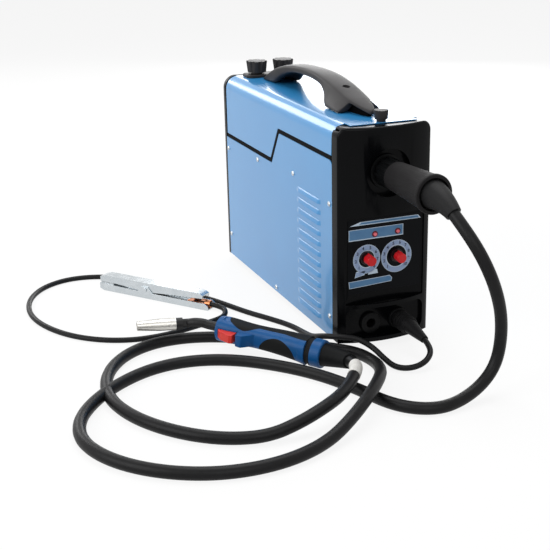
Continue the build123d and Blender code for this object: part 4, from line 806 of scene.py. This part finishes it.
rings = bmesh.new()
ring_print(rings, POWER_DIAL, 0.0130, 0.0201, SECOND_INK)
ring_print(rings, SPEED_DIAL, 0.0164, 0.0230, SECOND_INK)
flat_print(rings, SECOND_INK, [(-44.6, 104.1), (-43.0, 110.8), (-29.8, 111.8), (-30.8, 106.8)])
printed("grey_blue_dial_rings", rings, screen_ink("grey_blue_screen_ink", "#7f95b8", "#93a6c4"))

surrounds = bmesh.new()
for lens_place in LENS_PLACES:
    ring_print(surrounds, lens_place, 0.0022, 0.0045, THIRD_INK)
printed("maroon_lens_surrounds", surrounds, screen_ink("maroon_screen_ink", "#4a0d16", "#5c141e"))

numbers = bmesh.new()
dial_numbers(numbers, POWER_DIAL, 0.0165, 8)
dial_numbers(numbers, SPEED_DIAL, 0.0196, 10)
printed("dial_numbers", numbers, screen_ink("navy_screen_ink", "#0c1626", "#14233a"))

dial_ticks, given = geometry_tree(
    "ticks_round_a_dial", Count=29, Radius=0.02, Start=DIAL_START, Sweep=DIAL_SWEEP)
turn_number = add_node(dial_ticks, "GeometryNodeInputIndex")
last_number = add_node(dial_ticks, "ShaderNodeMath", {0: given["Count"], 1: 1.0},
                       operation="SUBTRACT")
share = add_node(dial_ticks, "ShaderNodeMath", {0: turn_number, 1: last_number},
                 operation="DIVIDE")
tick_angle = add_node(dial_ticks, "ShaderNodeMath", {
    0: share, 1: given["Sweep"], 2: given["Start"]}, operation="MULTIPLY_ADD")
across = add_node(dial_ticks, "ShaderNodeMath", {0: tick_angle}, operation="SINE")
upward = add_node(dial_ticks, "ShaderNodeMath", {0: tick_angle}, operation="COSINE")
away = add_node(dial_ticks, "ShaderNodeCombineXYZ", {"X": across, "Z": upward})
tick_at = add_node(dial_ticks, "ShaderNodeVectorMath", {
    0: away, "Scale": given["Radius"]}, operation="SCALE")
tick_points = add_node(dial_ticks, "GeometryNodePoints", {
    "Count": given["Count"], "Position": tick_at})
tick_turn = add_node(dial_ticks, "ShaderNodeCombineXYZ", {"Y": tick_angle})
ticks = add_node(dial_ticks, "GeometryNodeInstanceOnPoints", {
    "Points": tick_points, "Instance": given["Shape"], "Rotation": tick_turn})
end_tree(dial_ticks, given, ticks)
for label, middle, radius, count in (("power", POWER_DIAL, 0.0194, 29),
                                     ("wire_speed", SPEED_DIAL, 0.0224, 37)):
    bar = bpy.data.meshes.new("tick")
    bar.from_pydata([(x * TICK_HALF_WIDTH, 0, z * TICK_HALF_LENGTH) for x, z in (
        (-1, -1), (1, -1), (1, 1), (-1, 1))], [], [(0, 1, 2, 3)])
    marks = grown(label + "_dial_ticks", dial_ticks, bar, Count=count, Radius=radius,
                  Start=DIAL_START, Sweep=DIAL_SWEEP, Finish=pale_ink)
    for v in marks.data.vertices:
        v.co = (middle[0] + v.co.x, FILM_FRONT - THIRD_INK, middle[1] + v.co.z)
    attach(marks, "casing")


def painted_over(tree, shader, where, code):
    """A second colour covers the base colour where a mask is one."""
    under = shader.inputs["Base Color"].links[0].from_socket
    both = add_node(tree, "ShaderNodeMix", {"Factor": where, "A": under}, data_type="RGBA")
    both.inputs["B"].default_value = colour(code)
    tree.links.new(both.outputs["Result"], shader.inputs["Base Color"])


def red_knob_with_painted_shade(name, red, dark_red):
    """Red nylon knob, its skirt painted dark red-black from the skirt's front back to the film as
    painted shade.
    """
    material, tree, shader, place = start_material(name, red, 0.34, Specular_IOR_Level=0.3)
    drift = add_node(tree, "ShaderNodeTexNoise", {"Vector": place, "Scale": 120.0, "Detail": 3.0})
    shaded(tree, shader, drift, red, dark_red)
    along = add_node(tree, "ShaderNodeSeparateXYZ", {"Vector": place})
    skirt = add_node(tree, "ShaderNodeMath", {
        0: along.outputs["Y"], 1: FILM_FRONT - SKIRT_SHADE_REACH}, operation="GREATER_THAN")
    # The knob's back part, near the film, is painted dark red-black as painted shade.
    painted_over(tree, shader, skirt, "#170506")
    grain = add_node(tree, "ShaderNodeTexNoise", {"Vector": place, "Scale": 1400.0})
    raised(tree, shader, grain, 0.2, 0.0001)
    return material


# The lenses are smooth and bright, and the knobs have a satin gloss.
red_lens = moulded("red_lens_acrylic", "#e0505e", "#ee7a84", 0.2, 2.0, 0.01)
knob_plastic = red_knob_with_painted_shade("two_shot_moulded_knob_nylon", "#cf1118", "#b90d13")
finished(red_lens, "led_lenses")
eased("red_power_knob", "power_knob", 0.0005, knob_plastic, "power_knob")
eased("red_wire_speed_knob", "wire_speed_knob", 0.0005, knob_plastic, "wire_speed_knob")


# ---------------------------------------------------------------- sockets
# Two twist-lock current sockets in the bay, and the central torch socket in its round recess.
# All three are moulded in black nylon, with the faint grain of their moulds.
socket_plastic = moulded("moulded_socket_nylon", "#070708", "#0f1011", 0.42, 0.8, 0.04, 0.1)
eased("twist_lock_sockets", "current_sockets", 0.0008, socket_plastic, "casing")
eased("central_torch_socket", "euro_socket", 0.0006, socket_plastic, "casing")


# ---------------------------------------------------------------- torch plug
# Ribbed nylon union nut, a long tapered rubber sleeve with a rolled rim, and the drooping
# moulded strain relief that the hose leaves.
# The nylon nut has a satin gloss, and the rubbers are duller and slightly paler.
nut_nylon = moulded("moulded_nut_nylon", "#060708", "#0e0f10", 0.4, 0.8, 0.04, 0.1)
sleeve_rubber = moulded("moulded_sleeve_rubber", "#141314", "#201f20", 0.6, 0.9, 0.06, 0.14)
relief_rubber = moulded("moulded_relief_rubber", "#101011", "#1b1b1c", 0.55, 0.9, 0.05, 0.14)
eased("ribbed_union_nut", "euro_plug_nut", 0.0009, nut_nylon, "plug_nut")
eased("tapered_plug_sleeve", "plug_sleeve", 0.001, sleeve_rubber, "casing")
eased("drooping_strain_relief", "hose_relief", 0.001, relief_rubber, "casing")


# ---------------------------------------------------------------- carry handle and lid knobs
# Matt glass-filled nylon handle, screwed down through the nose and through its rear foot, with a
# dead black block in the hollow under its nose as painted shade. A low bracket at the lid's rear
# carries two fluted hand knobs, and one thumb screw holds the lid shut.
LID_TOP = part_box("carry_handle")[0][2]
# Stations from the nose's tip to the rear foot, in millimetres: place along the lid, then
# the heights of the top, the underside and the lower edge, and the half widths of the band
# and of the lower edge.
HANDLE_STATIONS = [
    (-187, 9, 3, 3, 2.5, 2.5), (-182, 11, 5.5, 5.5, 6, 6), (-172, 13.8, 8.5, 8.5, 10.5, 10.5),
    (-160, 16.8, 11, 11, 13.5, 13.5), (-149, 19.3, 13.5, 13.5, 15.8, 16),
    (-146.5, 19.9, 14, 13, 16.3, 18), (-145.5, 20.1, 14, 0, 16.5, 36),
    (-143.5, 20.5, 14.5, 0, 17, 38), (-125, 24.4, 17.5, 0, 18.5, 38), (-104, 29, 20.5, 0, 19, 37),
    (-94, 31, 22, 0.3, 19.2, 35), (-86, 32.4, 23, 7, 19.2, 31), (-80, 33.4, 24, 13, 19.1, 27),
    (-72, 34.7, 25.2, 18.5, 19, 24), (-62, 36.2, 26.5, 22.3, 18.8, 21),
    (-48, 38, 28.2, 25.5, 18.3, 18.8), (-26, 39.6, 29.5, 27.5, 17.3, 17.3),
    (0, 40, 29.5, 28, 16.4, 16.4), (30, 39, 29, 27.5, 16.2, 16.2), (60, 37, 27, 25.5, 17.5, 17.5),
    (84, 34, 22, 19, 20, 20), (100, 30.5, 16, 11.5, 22, 22), (111, 27.5, 11, 4, 23, 23.5),
    (119, 24.5, 8, 0, 23.5, 24), (140, 16, 5, 0, 24, 24.5), (157, 7.5, 3, 0, 24, 24.5),
    (167, 2, 1, 0, 23, 24),
]
# The painted-shade block's own stations: place along the lid, height and half width.
SHADE_BLOCK_STATIONS = [(-179, 7.5, 3), (-170, 10, 6.5), (-157, 13, 9), (-144, 16, 11),
                 (-125, 18.5, 12.5), (-106, 21, 12.5), (-96, 23, 10)]
# Each screw's well: its place along the lid and the height of its floor, in millimetres.
SCREW_WELLS = [(-103.4, 21.0), (150.0, 4.0)]
WELL_DEPTH = 0.03


def handle_loop(top, under, low, wide, foot):
    """One section of the handle: its crown, rounded shoulders, flared foot and underside."""
    half = [(wide * 0.52, top - 0.4), (wide * 0.9, top - 1.5), (wide, top - min(4.2, top / 2)),
            ((wide + foot) / 2 - (foot - wide) * 0.15, (top + low) / 2 - 1),
            (foot, low), (foot - 20 if foot > 26 else foot * 0.6, low), (wide * 0.5, under)]
    return [(0, top)] + half + [(0, under)] + [(-x, z) for x, z in reversed(half)]


def lofted(name, loops, material):
    """A closed piece on the lid, from (place along it, section) pairs in millimetres."""
    form = bmesh.new()
    skinned(form, [[form.verts.new((x / 1000, along / 1000, LID_TOP + z / 1000))
                    for x, z in loop] for along, loop in loops])
    return piece_from(name, form, material)


# The handle is grained and matt, and the block under its nose is dead black as painted shade.
handle_nylon = moulded("matt_glass_filled_nylon", "#1b191a", "#292728", 0.5, 0.9, 0.06, 0.26)
nose_shade_black = moulded("black_thermoplastic_rubber", "#040404", "#0a0a0b", 0.75, 0.8, 0.06, 0.03)
carry_handle = lofted("moulded_carry_handle", [
    (station[0], handle_loop(*station[1:])) for station in HANDLE_STATIONS], handle_nylon)
rounding = carry_handle.modifiers.new("rounded", "SUBSURF")
rounding.levels = 2
rounding.render_levels = 2
well_form = bmesh.new()
for along, floor_height in SCREW_WELLS:
    well = bmesh.ops.create_cone(
        well_form, cap_ends=True, segments=40, radius1=0.0052, radius2=0.0064, depth=WELL_DEPTH)
    bmesh.ops.translate(well_form, verts=well["verts"], vec=(
        0, along / 1000, LID_TOP + floor_height / 1000 + WELL_DEPTH / 2))
wells = piece_from("screw_wells", well_form, handle_nylon)
sunk = carry_handle.modifiers.new("screw_wells", "BOOLEAN")
sunk.object = wells
sunk.operation = "DIFFERENCE"
handle_mesh = made_mesh(carry_handle)
carry_handle.modifiers.clear()
carry_handle.data = handle_mesh
bpy.data.objects.remove(wells)
softly_lit(carry_handle, 48)
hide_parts("carry_handle")
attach(carry_handle, "lid")

# A dead black block fills the hollow under the nose as painted shade.
nose_shade_block = lofted("soft_core_under_the_nose", [
    (along, [(-wide, 0.2), (-wide * 0.9, top * 0.6), (-wide * 0.7, top), (wide * 0.7, top),
             (wide * 0.9, top * 0.6), (wide, 0.2)]) for along, top, wide in SHADE_BLOCK_STATIONS],
    nose_shade_black)
softly_lit(nose_shade_block, 34)
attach(nose_shade_block, "lid")
eased("moulded_knob_bracket", "knob_bracket", 0.001, handle_nylon, "lid")
for side in ("left", "right"):
    eased("fluted_hand_knob_" + side, "hand_knob_" + side, 0.001, handle_nylon,
          "hand_knob_" + side)
eased("knurled_thumb_screw", "thumb_screw", 0.0006, handle_nylon, "thumb_screw")


# ---------------------------------------------------------------- rear frame and fittings
# Moulded rear frame with the fan's slots, a rocker switch, the mains cable's gland and a
# turned brass gas inlet with a barbed tail.
# The ABS is an even satin black, and the turned brass is bright.
rear_abs = moulded("matt_moulded_abs", "#0c0d0f", "#151619", 0.45, 0.8, 0.05, 0.25)
turned_brass = mottled("turned_brass", "#b08a3c", "#d9b866", 0.28, 4)
eased("moulded_rear_frame", "rear_panel", 0.0008, rear_abs, "casing")
eased("switch_frame", "switch_body", 0.0006, rear_abs, "casing")
eased("switch_rocker_cap", "switch_rocker", 0.0005, rear_abs, "rocker")
eased("domed_cable_gland", "cable_gland", 0.0006, rear_abs, "casing")
eased("barbed_gas_inlet", "gas_fittings", 0.0003, turned_brass, "casing")


# ---------------------------------------------------------------- casing screws
# Zinc-plated M4 pan-head screws with a cross recess. They hold the sides and the rear frame,
# and each has stopped at its own turn.
SCREW_SEED = 7
# The dome of a head as radii and heights, for a head of radius one.
HEAD_DOME = [(0.98, 0.0), (1.0, 0.16), (0.95, 0.36), (0.82, 0.52), (0.62, 0.60)]


def screw_places(node):
    """A point on the sheet under each screw's head, the way that it faces, and its radius."""
    form = bmesh.new()
    form.from_mesh(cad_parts[node].data)
    bmesh.ops.remove_doubles(form, verts=form.verts, dist=0.00002)
    seen, places, facings = set(), [], []
    for first in form.verts:
        if first in seen:
            continue
        seen.add(first)
        screw, unspread = [first], [first]
        while unspread:
            for edge in unspread.pop().link_edges:
                for v in edge.verts:
                    if v not in seen:
                        seen.add(v)
                        screw.append(v)
                        unspread.append(v)
        low = Vector([min(v.co[n] for v in screw) for n in range(3)])
        high = Vector([max(v.co[n] for v in screw) for n in range(3)])
        size = high - low
        axis = min(range(3), key=lambda n: size[n])
        middle = (low + high) / 2
        way = Vector((0, 0, 0))
        way[axis] = 1 if axis == 2 or middle[axis] > 0 else -1
        places.append(middle - way * size[axis] / 2)
        facings.append(way)
        radius = max(size) / 2
    form.free()
    return places, facings, radius


def cross_head():
    """A domed head of radius one that stands on the origin, with a tapered cross recess."""
    form = bmesh.new()
    rings = [[form.verts.new((radius * cosine, radius * sine, up))
              for cosine, sine in round_turns()] for radius, up in HEAD_DOME]
    skinned(form, rings, ends=(0,))
    arm, reach = 0.11, 0.46
    cross = [(reach, -arm), (reach, arm), (arm, arm), (arm, reach), (-arm, reach), (-arm, arm),
             (-reach, arm), (-reach, -arm), (-arm, -arm), (-arm, -reach), (arm, -reach),
             (arm, -arm)]
    rim = [form.verts.new((x, y, 0.62)) for x, y in cross]
    floor_points = [form.verts.new((x * 0.8, y * 0.8, 0.24)) for x, y in cross]
    edges = []
    for n in range(len(cross)):
        m = (n + 1) % len(cross)
        edges.append(form.edges.new((rim[n], rim[m])))
        form.faces.new((rim[n], rim[m], floor_points[m], floor_points[n]))
    form.faces.new(floor_points)
    edges += [e for e in form.edges if all(v in rings[-1] for v in e.verts)]
    bmesh.ops.triangle_fill(form, edges=edges, use_beauty=True)
    bmesh.ops.recalc_face_normals(form, faces=form.faces)
    mesh = bpy.data.meshes.new("cross_head")
    form.to_mesh(mesh)
    form.free()
    return bpy.data.objects.new("cross_head", mesh)


driven_screws, given = geometry_tree(
    "driven_screws", Head_radius=0.003, Seed=SCREW_SEED, Head=None)
facing = add_node(driven_screws, "GeometryNodeInputNamedAttribute", {"Name": "facing"},
                  data_type="FLOAT_VECTOR")
upright = add_node(driven_screws, "FunctionNodeAlignRotationToVector", {
    "Vector": facing.outputs["Attribute"]}, axis="Z")
own_turn = add_node(driven_screws, "FunctionNodeRandomValue", {
    "Seed": given["Seed"]}, data_type="FLOAT_VECTOR")
own_turn.inputs[0].default_value = (0, 0, 0)
own_turn.inputs[1].default_value = (0, 0, math.pi / 2)
spin = add_node(driven_screws, "FunctionNodeEulerToRotation", {"Euler": own_turn})
turned = add_node(driven_screws, "FunctionNodeRotateRotation", {
    "Rotation": upright, "Rotate By": spin}, rotation_space="LOCAL")
head = add_node(driven_screws, "GeometryNodeObjectInfo", {"Object": given["Head"]})
heads = add_node(driven_screws, "GeometryNodeInstanceOnPoints", {
    "Points": given["Shape"], "Instance": head.outputs["Geometry"],
    "Rotation": turned, "Scale": given["Head radius"]})
end_tree(driven_screws, given, heads)
# Zinc plate on a small head is bright, with a patchy gloss.
plated_screw = mottled("zinc_plated_screw_steel", "#b9bfc3", "#dde1e3", 0.28, 3)


def screwed_in(name, node, body):
    """Screws driven at the places of a CAD piece's heads, which they replace."""
    places, facings, radius = screw_places(node)
    points = bpy.data.meshes.new(name)
    points.from_pydata(places, [], [])
    points.attributes.new("facing", "FLOAT_VECTOR", "POINT")
    for way, value in zip(facings, points.attributes["facing"].data):
        value.vector = way
    template = cross_head()
    piece = grown(name, driven_screws, points, Head_radius=radius, Seed=SCREW_SEED,
                  Head=template, Finish=plated_screw)
    bpy.data.objects.remove(template)
    softly_lit(piece, 40)
    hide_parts(node)
    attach(piece, body)


screwed_in("pan_head_casing_screws", "casing_screws", "casing")
screwed_in("pan_head_handle_screws", "handle_screws", "lid")


# ---------------------------------------------------------------- torch
# Two moulded blue nylon shells, overmoulded with black elastomer, and a red trigger. The swan
# neck is in black insulation, the nozzle is nickel-plated with a copper contact tip in it, and
# a rubber boot grips the hose.
TORCH_TAIL = Vector((-0.112, -0.273, 0.0199))
TORCH_NOSE = Vector((-0.214, -0.148, 0.030))
# Middles and half sizes of the black areas: along the torch from its tail, then above its
# line for the arch and behind it for the pad.
GRIP_ARCH = ((0.0654, -0.017), (0.030, 0.0275))
GRIP_BACK = 0.004
THUMB_PAD = ((0.1225, 0.010), (0.027, 0.0225))
TAIL_BAND = (0.0185, 0.0042)
BACK_STRIP = (0.066, 0.050)


def two_part_torch(name, blue, bright, black):
    """Blue nylon shells overmoulded with black elastomer: grip, back strip, pad and band."""
    material, tree, shader, place = start_material(name, blue, 0.4, Specular_IOR_Level=0.2)
    way = (TORCH_NOSE - TORCH_TAIL).normalized()
    upper = way.cross(Vector((0, 0, 1))).cross(way).normalized()
    from_tail = add_node(tree, "ShaderNodeVectorMath", {0: place, 1: TORCH_TAIL},
                         operation="SUBTRACT")
    along, above, behind = (add_node(
        tree, "ShaderNodeVectorMath", {0: from_tail, 1: direction},
        operation="DOT_PRODUCT").outputs["Value"] for direction in (way, upper, way.cross(upper)))

    def inside_oval(first, second, middle, half):
        """A mask that is one inside an oval of two places."""
        flat = add_node(tree, "ShaderNodeCombineXYZ", {"X": first, "Y": second})
        offset = add_node(tree, "ShaderNodeVectorMath", {0: flat, 1: (*middle, 0)},
                          operation="SUBTRACT")
        scaled = add_node(tree, "ShaderNodeVectorMath", {0: offset, 1: (*half, 1)},
                          operation="DIVIDE")
        reach = add_node(tree, "ShaderNodeVectorMath", {0: scaled}, operation="LENGTH")
        return add_node(tree, "ShaderNodeMath", {0: reach.outputs["Value"], 1: 1.0},
                        operation="LESS_THAN")

    grip_arch = inside_oval(along, above, *GRIP_ARCH)
    finger_side = add_node(tree, "ShaderNodeMath", {0: behind, 1: GRIP_BACK}, operation="LESS_THAN")
    grip = add_node(tree, "ShaderNodeMath", {0: grip_arch, 1: finger_side}, operation="MULTIPLY")
    pad = inside_oval(along, behind, *THUMB_PAD)
    band = add_node(tree, "ShaderNodeMath", {0: along, 1: TAIL_BAND[0], 2: TAIL_BAND[1]},
                    operation="COMPARE")
    # The strip's edge slants across the handle's back, and the strip widens towards the tail.
    strip_edge = add_node(tree, "ShaderNodeMapRange", {
        "Value": along, "From Min": 0.020, "From Max": 0.060, "To Min": -0.010,
        "To Max": -0.0015})
    strip_side = add_node(tree, "ShaderNodeMath", {0: behind, 1: strip_edge.outputs["Result"]},
                          operation="GREATER_THAN")
    strip_span = add_node(tree, "ShaderNodeMath", {0: along, 1: BACK_STRIP[0], 2: BACK_STRIP[1]},
                          operation="COMPARE")
    strip = add_node(tree, "ShaderNodeMath", {0: strip_side, 1: strip_span}, operation="MULTIPLY")
    soft = band
    for part in (grip, strip, pad):
        soft = add_node(tree, "ShaderNodeMath", {0: soft, 1: part}, operation="MAXIMUM")
    drift = add_node(tree, "ShaderNodeTexNoise", {"Vector": place, "Scale": 35.0, "Detail": 4.0})
    shaded(tree, shader, drift, blue, bright)
    painted_over(tree, shader, soft, black)
    sheen = add_node(tree, "ShaderNodeMapRange", {"Value": soft, "To Min": 0.38, "To Max": 0.75})
    tree.links.new(sheen.outputs["Result"], shader.inputs["Roughness"])
    texture = add_node(tree, "ShaderNodeTexVoronoi", {"Vector": place, "Scale": 1000 / 0.9})
    raised(tree, shader, texture, 0.5, 0.00004)
    return material


# The nylons are satin, the elastomer dull, and the nickel and the copper bright and mottled.
torch_plastic = two_part_torch("blue_nylon_with_black_elastomer", "#0b4477", "#125590",
                               "#050606")
soft_grip = moulded("soft_black_elastomer", "#08090a", "#111213", 0.6, 0.8, 0.06, 0.12)
trigger_nylon = moulded("red_trigger_nylon", "#c52a22", "#d8372c", 0.4, 0.8, 0.03)
neck_sleeve = moulded("black_neck_insulation", "#0a0a0b", "#151516", 0.45, 0.9, 0.05, 0.25)
nickel = mottled("nickel_plated_copper", "#a9a7a2", "#d4d2cc", 0.3, 6)
drawn_copper = mottled("drawn_copper", "#b06a45", "#d08a62", 0.3, 4)
eased("blue_torch_shells", "torch_handle", 0.0012, torch_plastic, "casing")
eased("overmoulded_grip", "torch_grip", 0.001, torch_plastic, "casing")
eased("red_torch_trigger", "torch_trigger", 0.001, trigger_nylon, "trigger")
eased("swan_neck", "torch_neck", 0.0006, neck_sleeve, "casing")
eased("gas_nozzle", "torch_nozzle", 0.0006, nickel, "casing")
eased("contact_tip_end", "contact_tip", 0.0003, drawn_copper, "casing")
eased("torch_hose_boot", "torch_boot", 0.001, soft_grip, "casing")


# ---------------------------------------------------------------- earth plug and clamp
# A rubber-sleeved twist-lock plug at one end of the earth cable, and at the other a clamp of
# two pressed steel channels, zinc-plated, riveted together over a spring.
# Dull black rubber beside bright plating that clouds in patches about 9 mm across.
plug_rubber = moulded("moulded_plug_rubber", "#09090a", "#121213", 0.55, 0.9, 0.05, 0.12)
clamp_plating = mottled("zinc_plated_pressed_steel", "#bcc3c7", "#d0d5d8", 0.24, 9)
eased("sleeved_earth_plug", "earth_plug", 0.0008, plug_rubber, "casing")
eased("lower_clamp_arm", "clamp_lower_arm", 0.0005, clamp_plating, "casing")
eased("upper_clamp_arm", "clamp_upper_arm", 0.0005, clamp_plating, "clamp_arm")
eased("clamp_rivet_and_spring", "clamp_pivot", 0.0003, clamp_plating, "casing")
finished(drawn_copper, "clamp_lug")
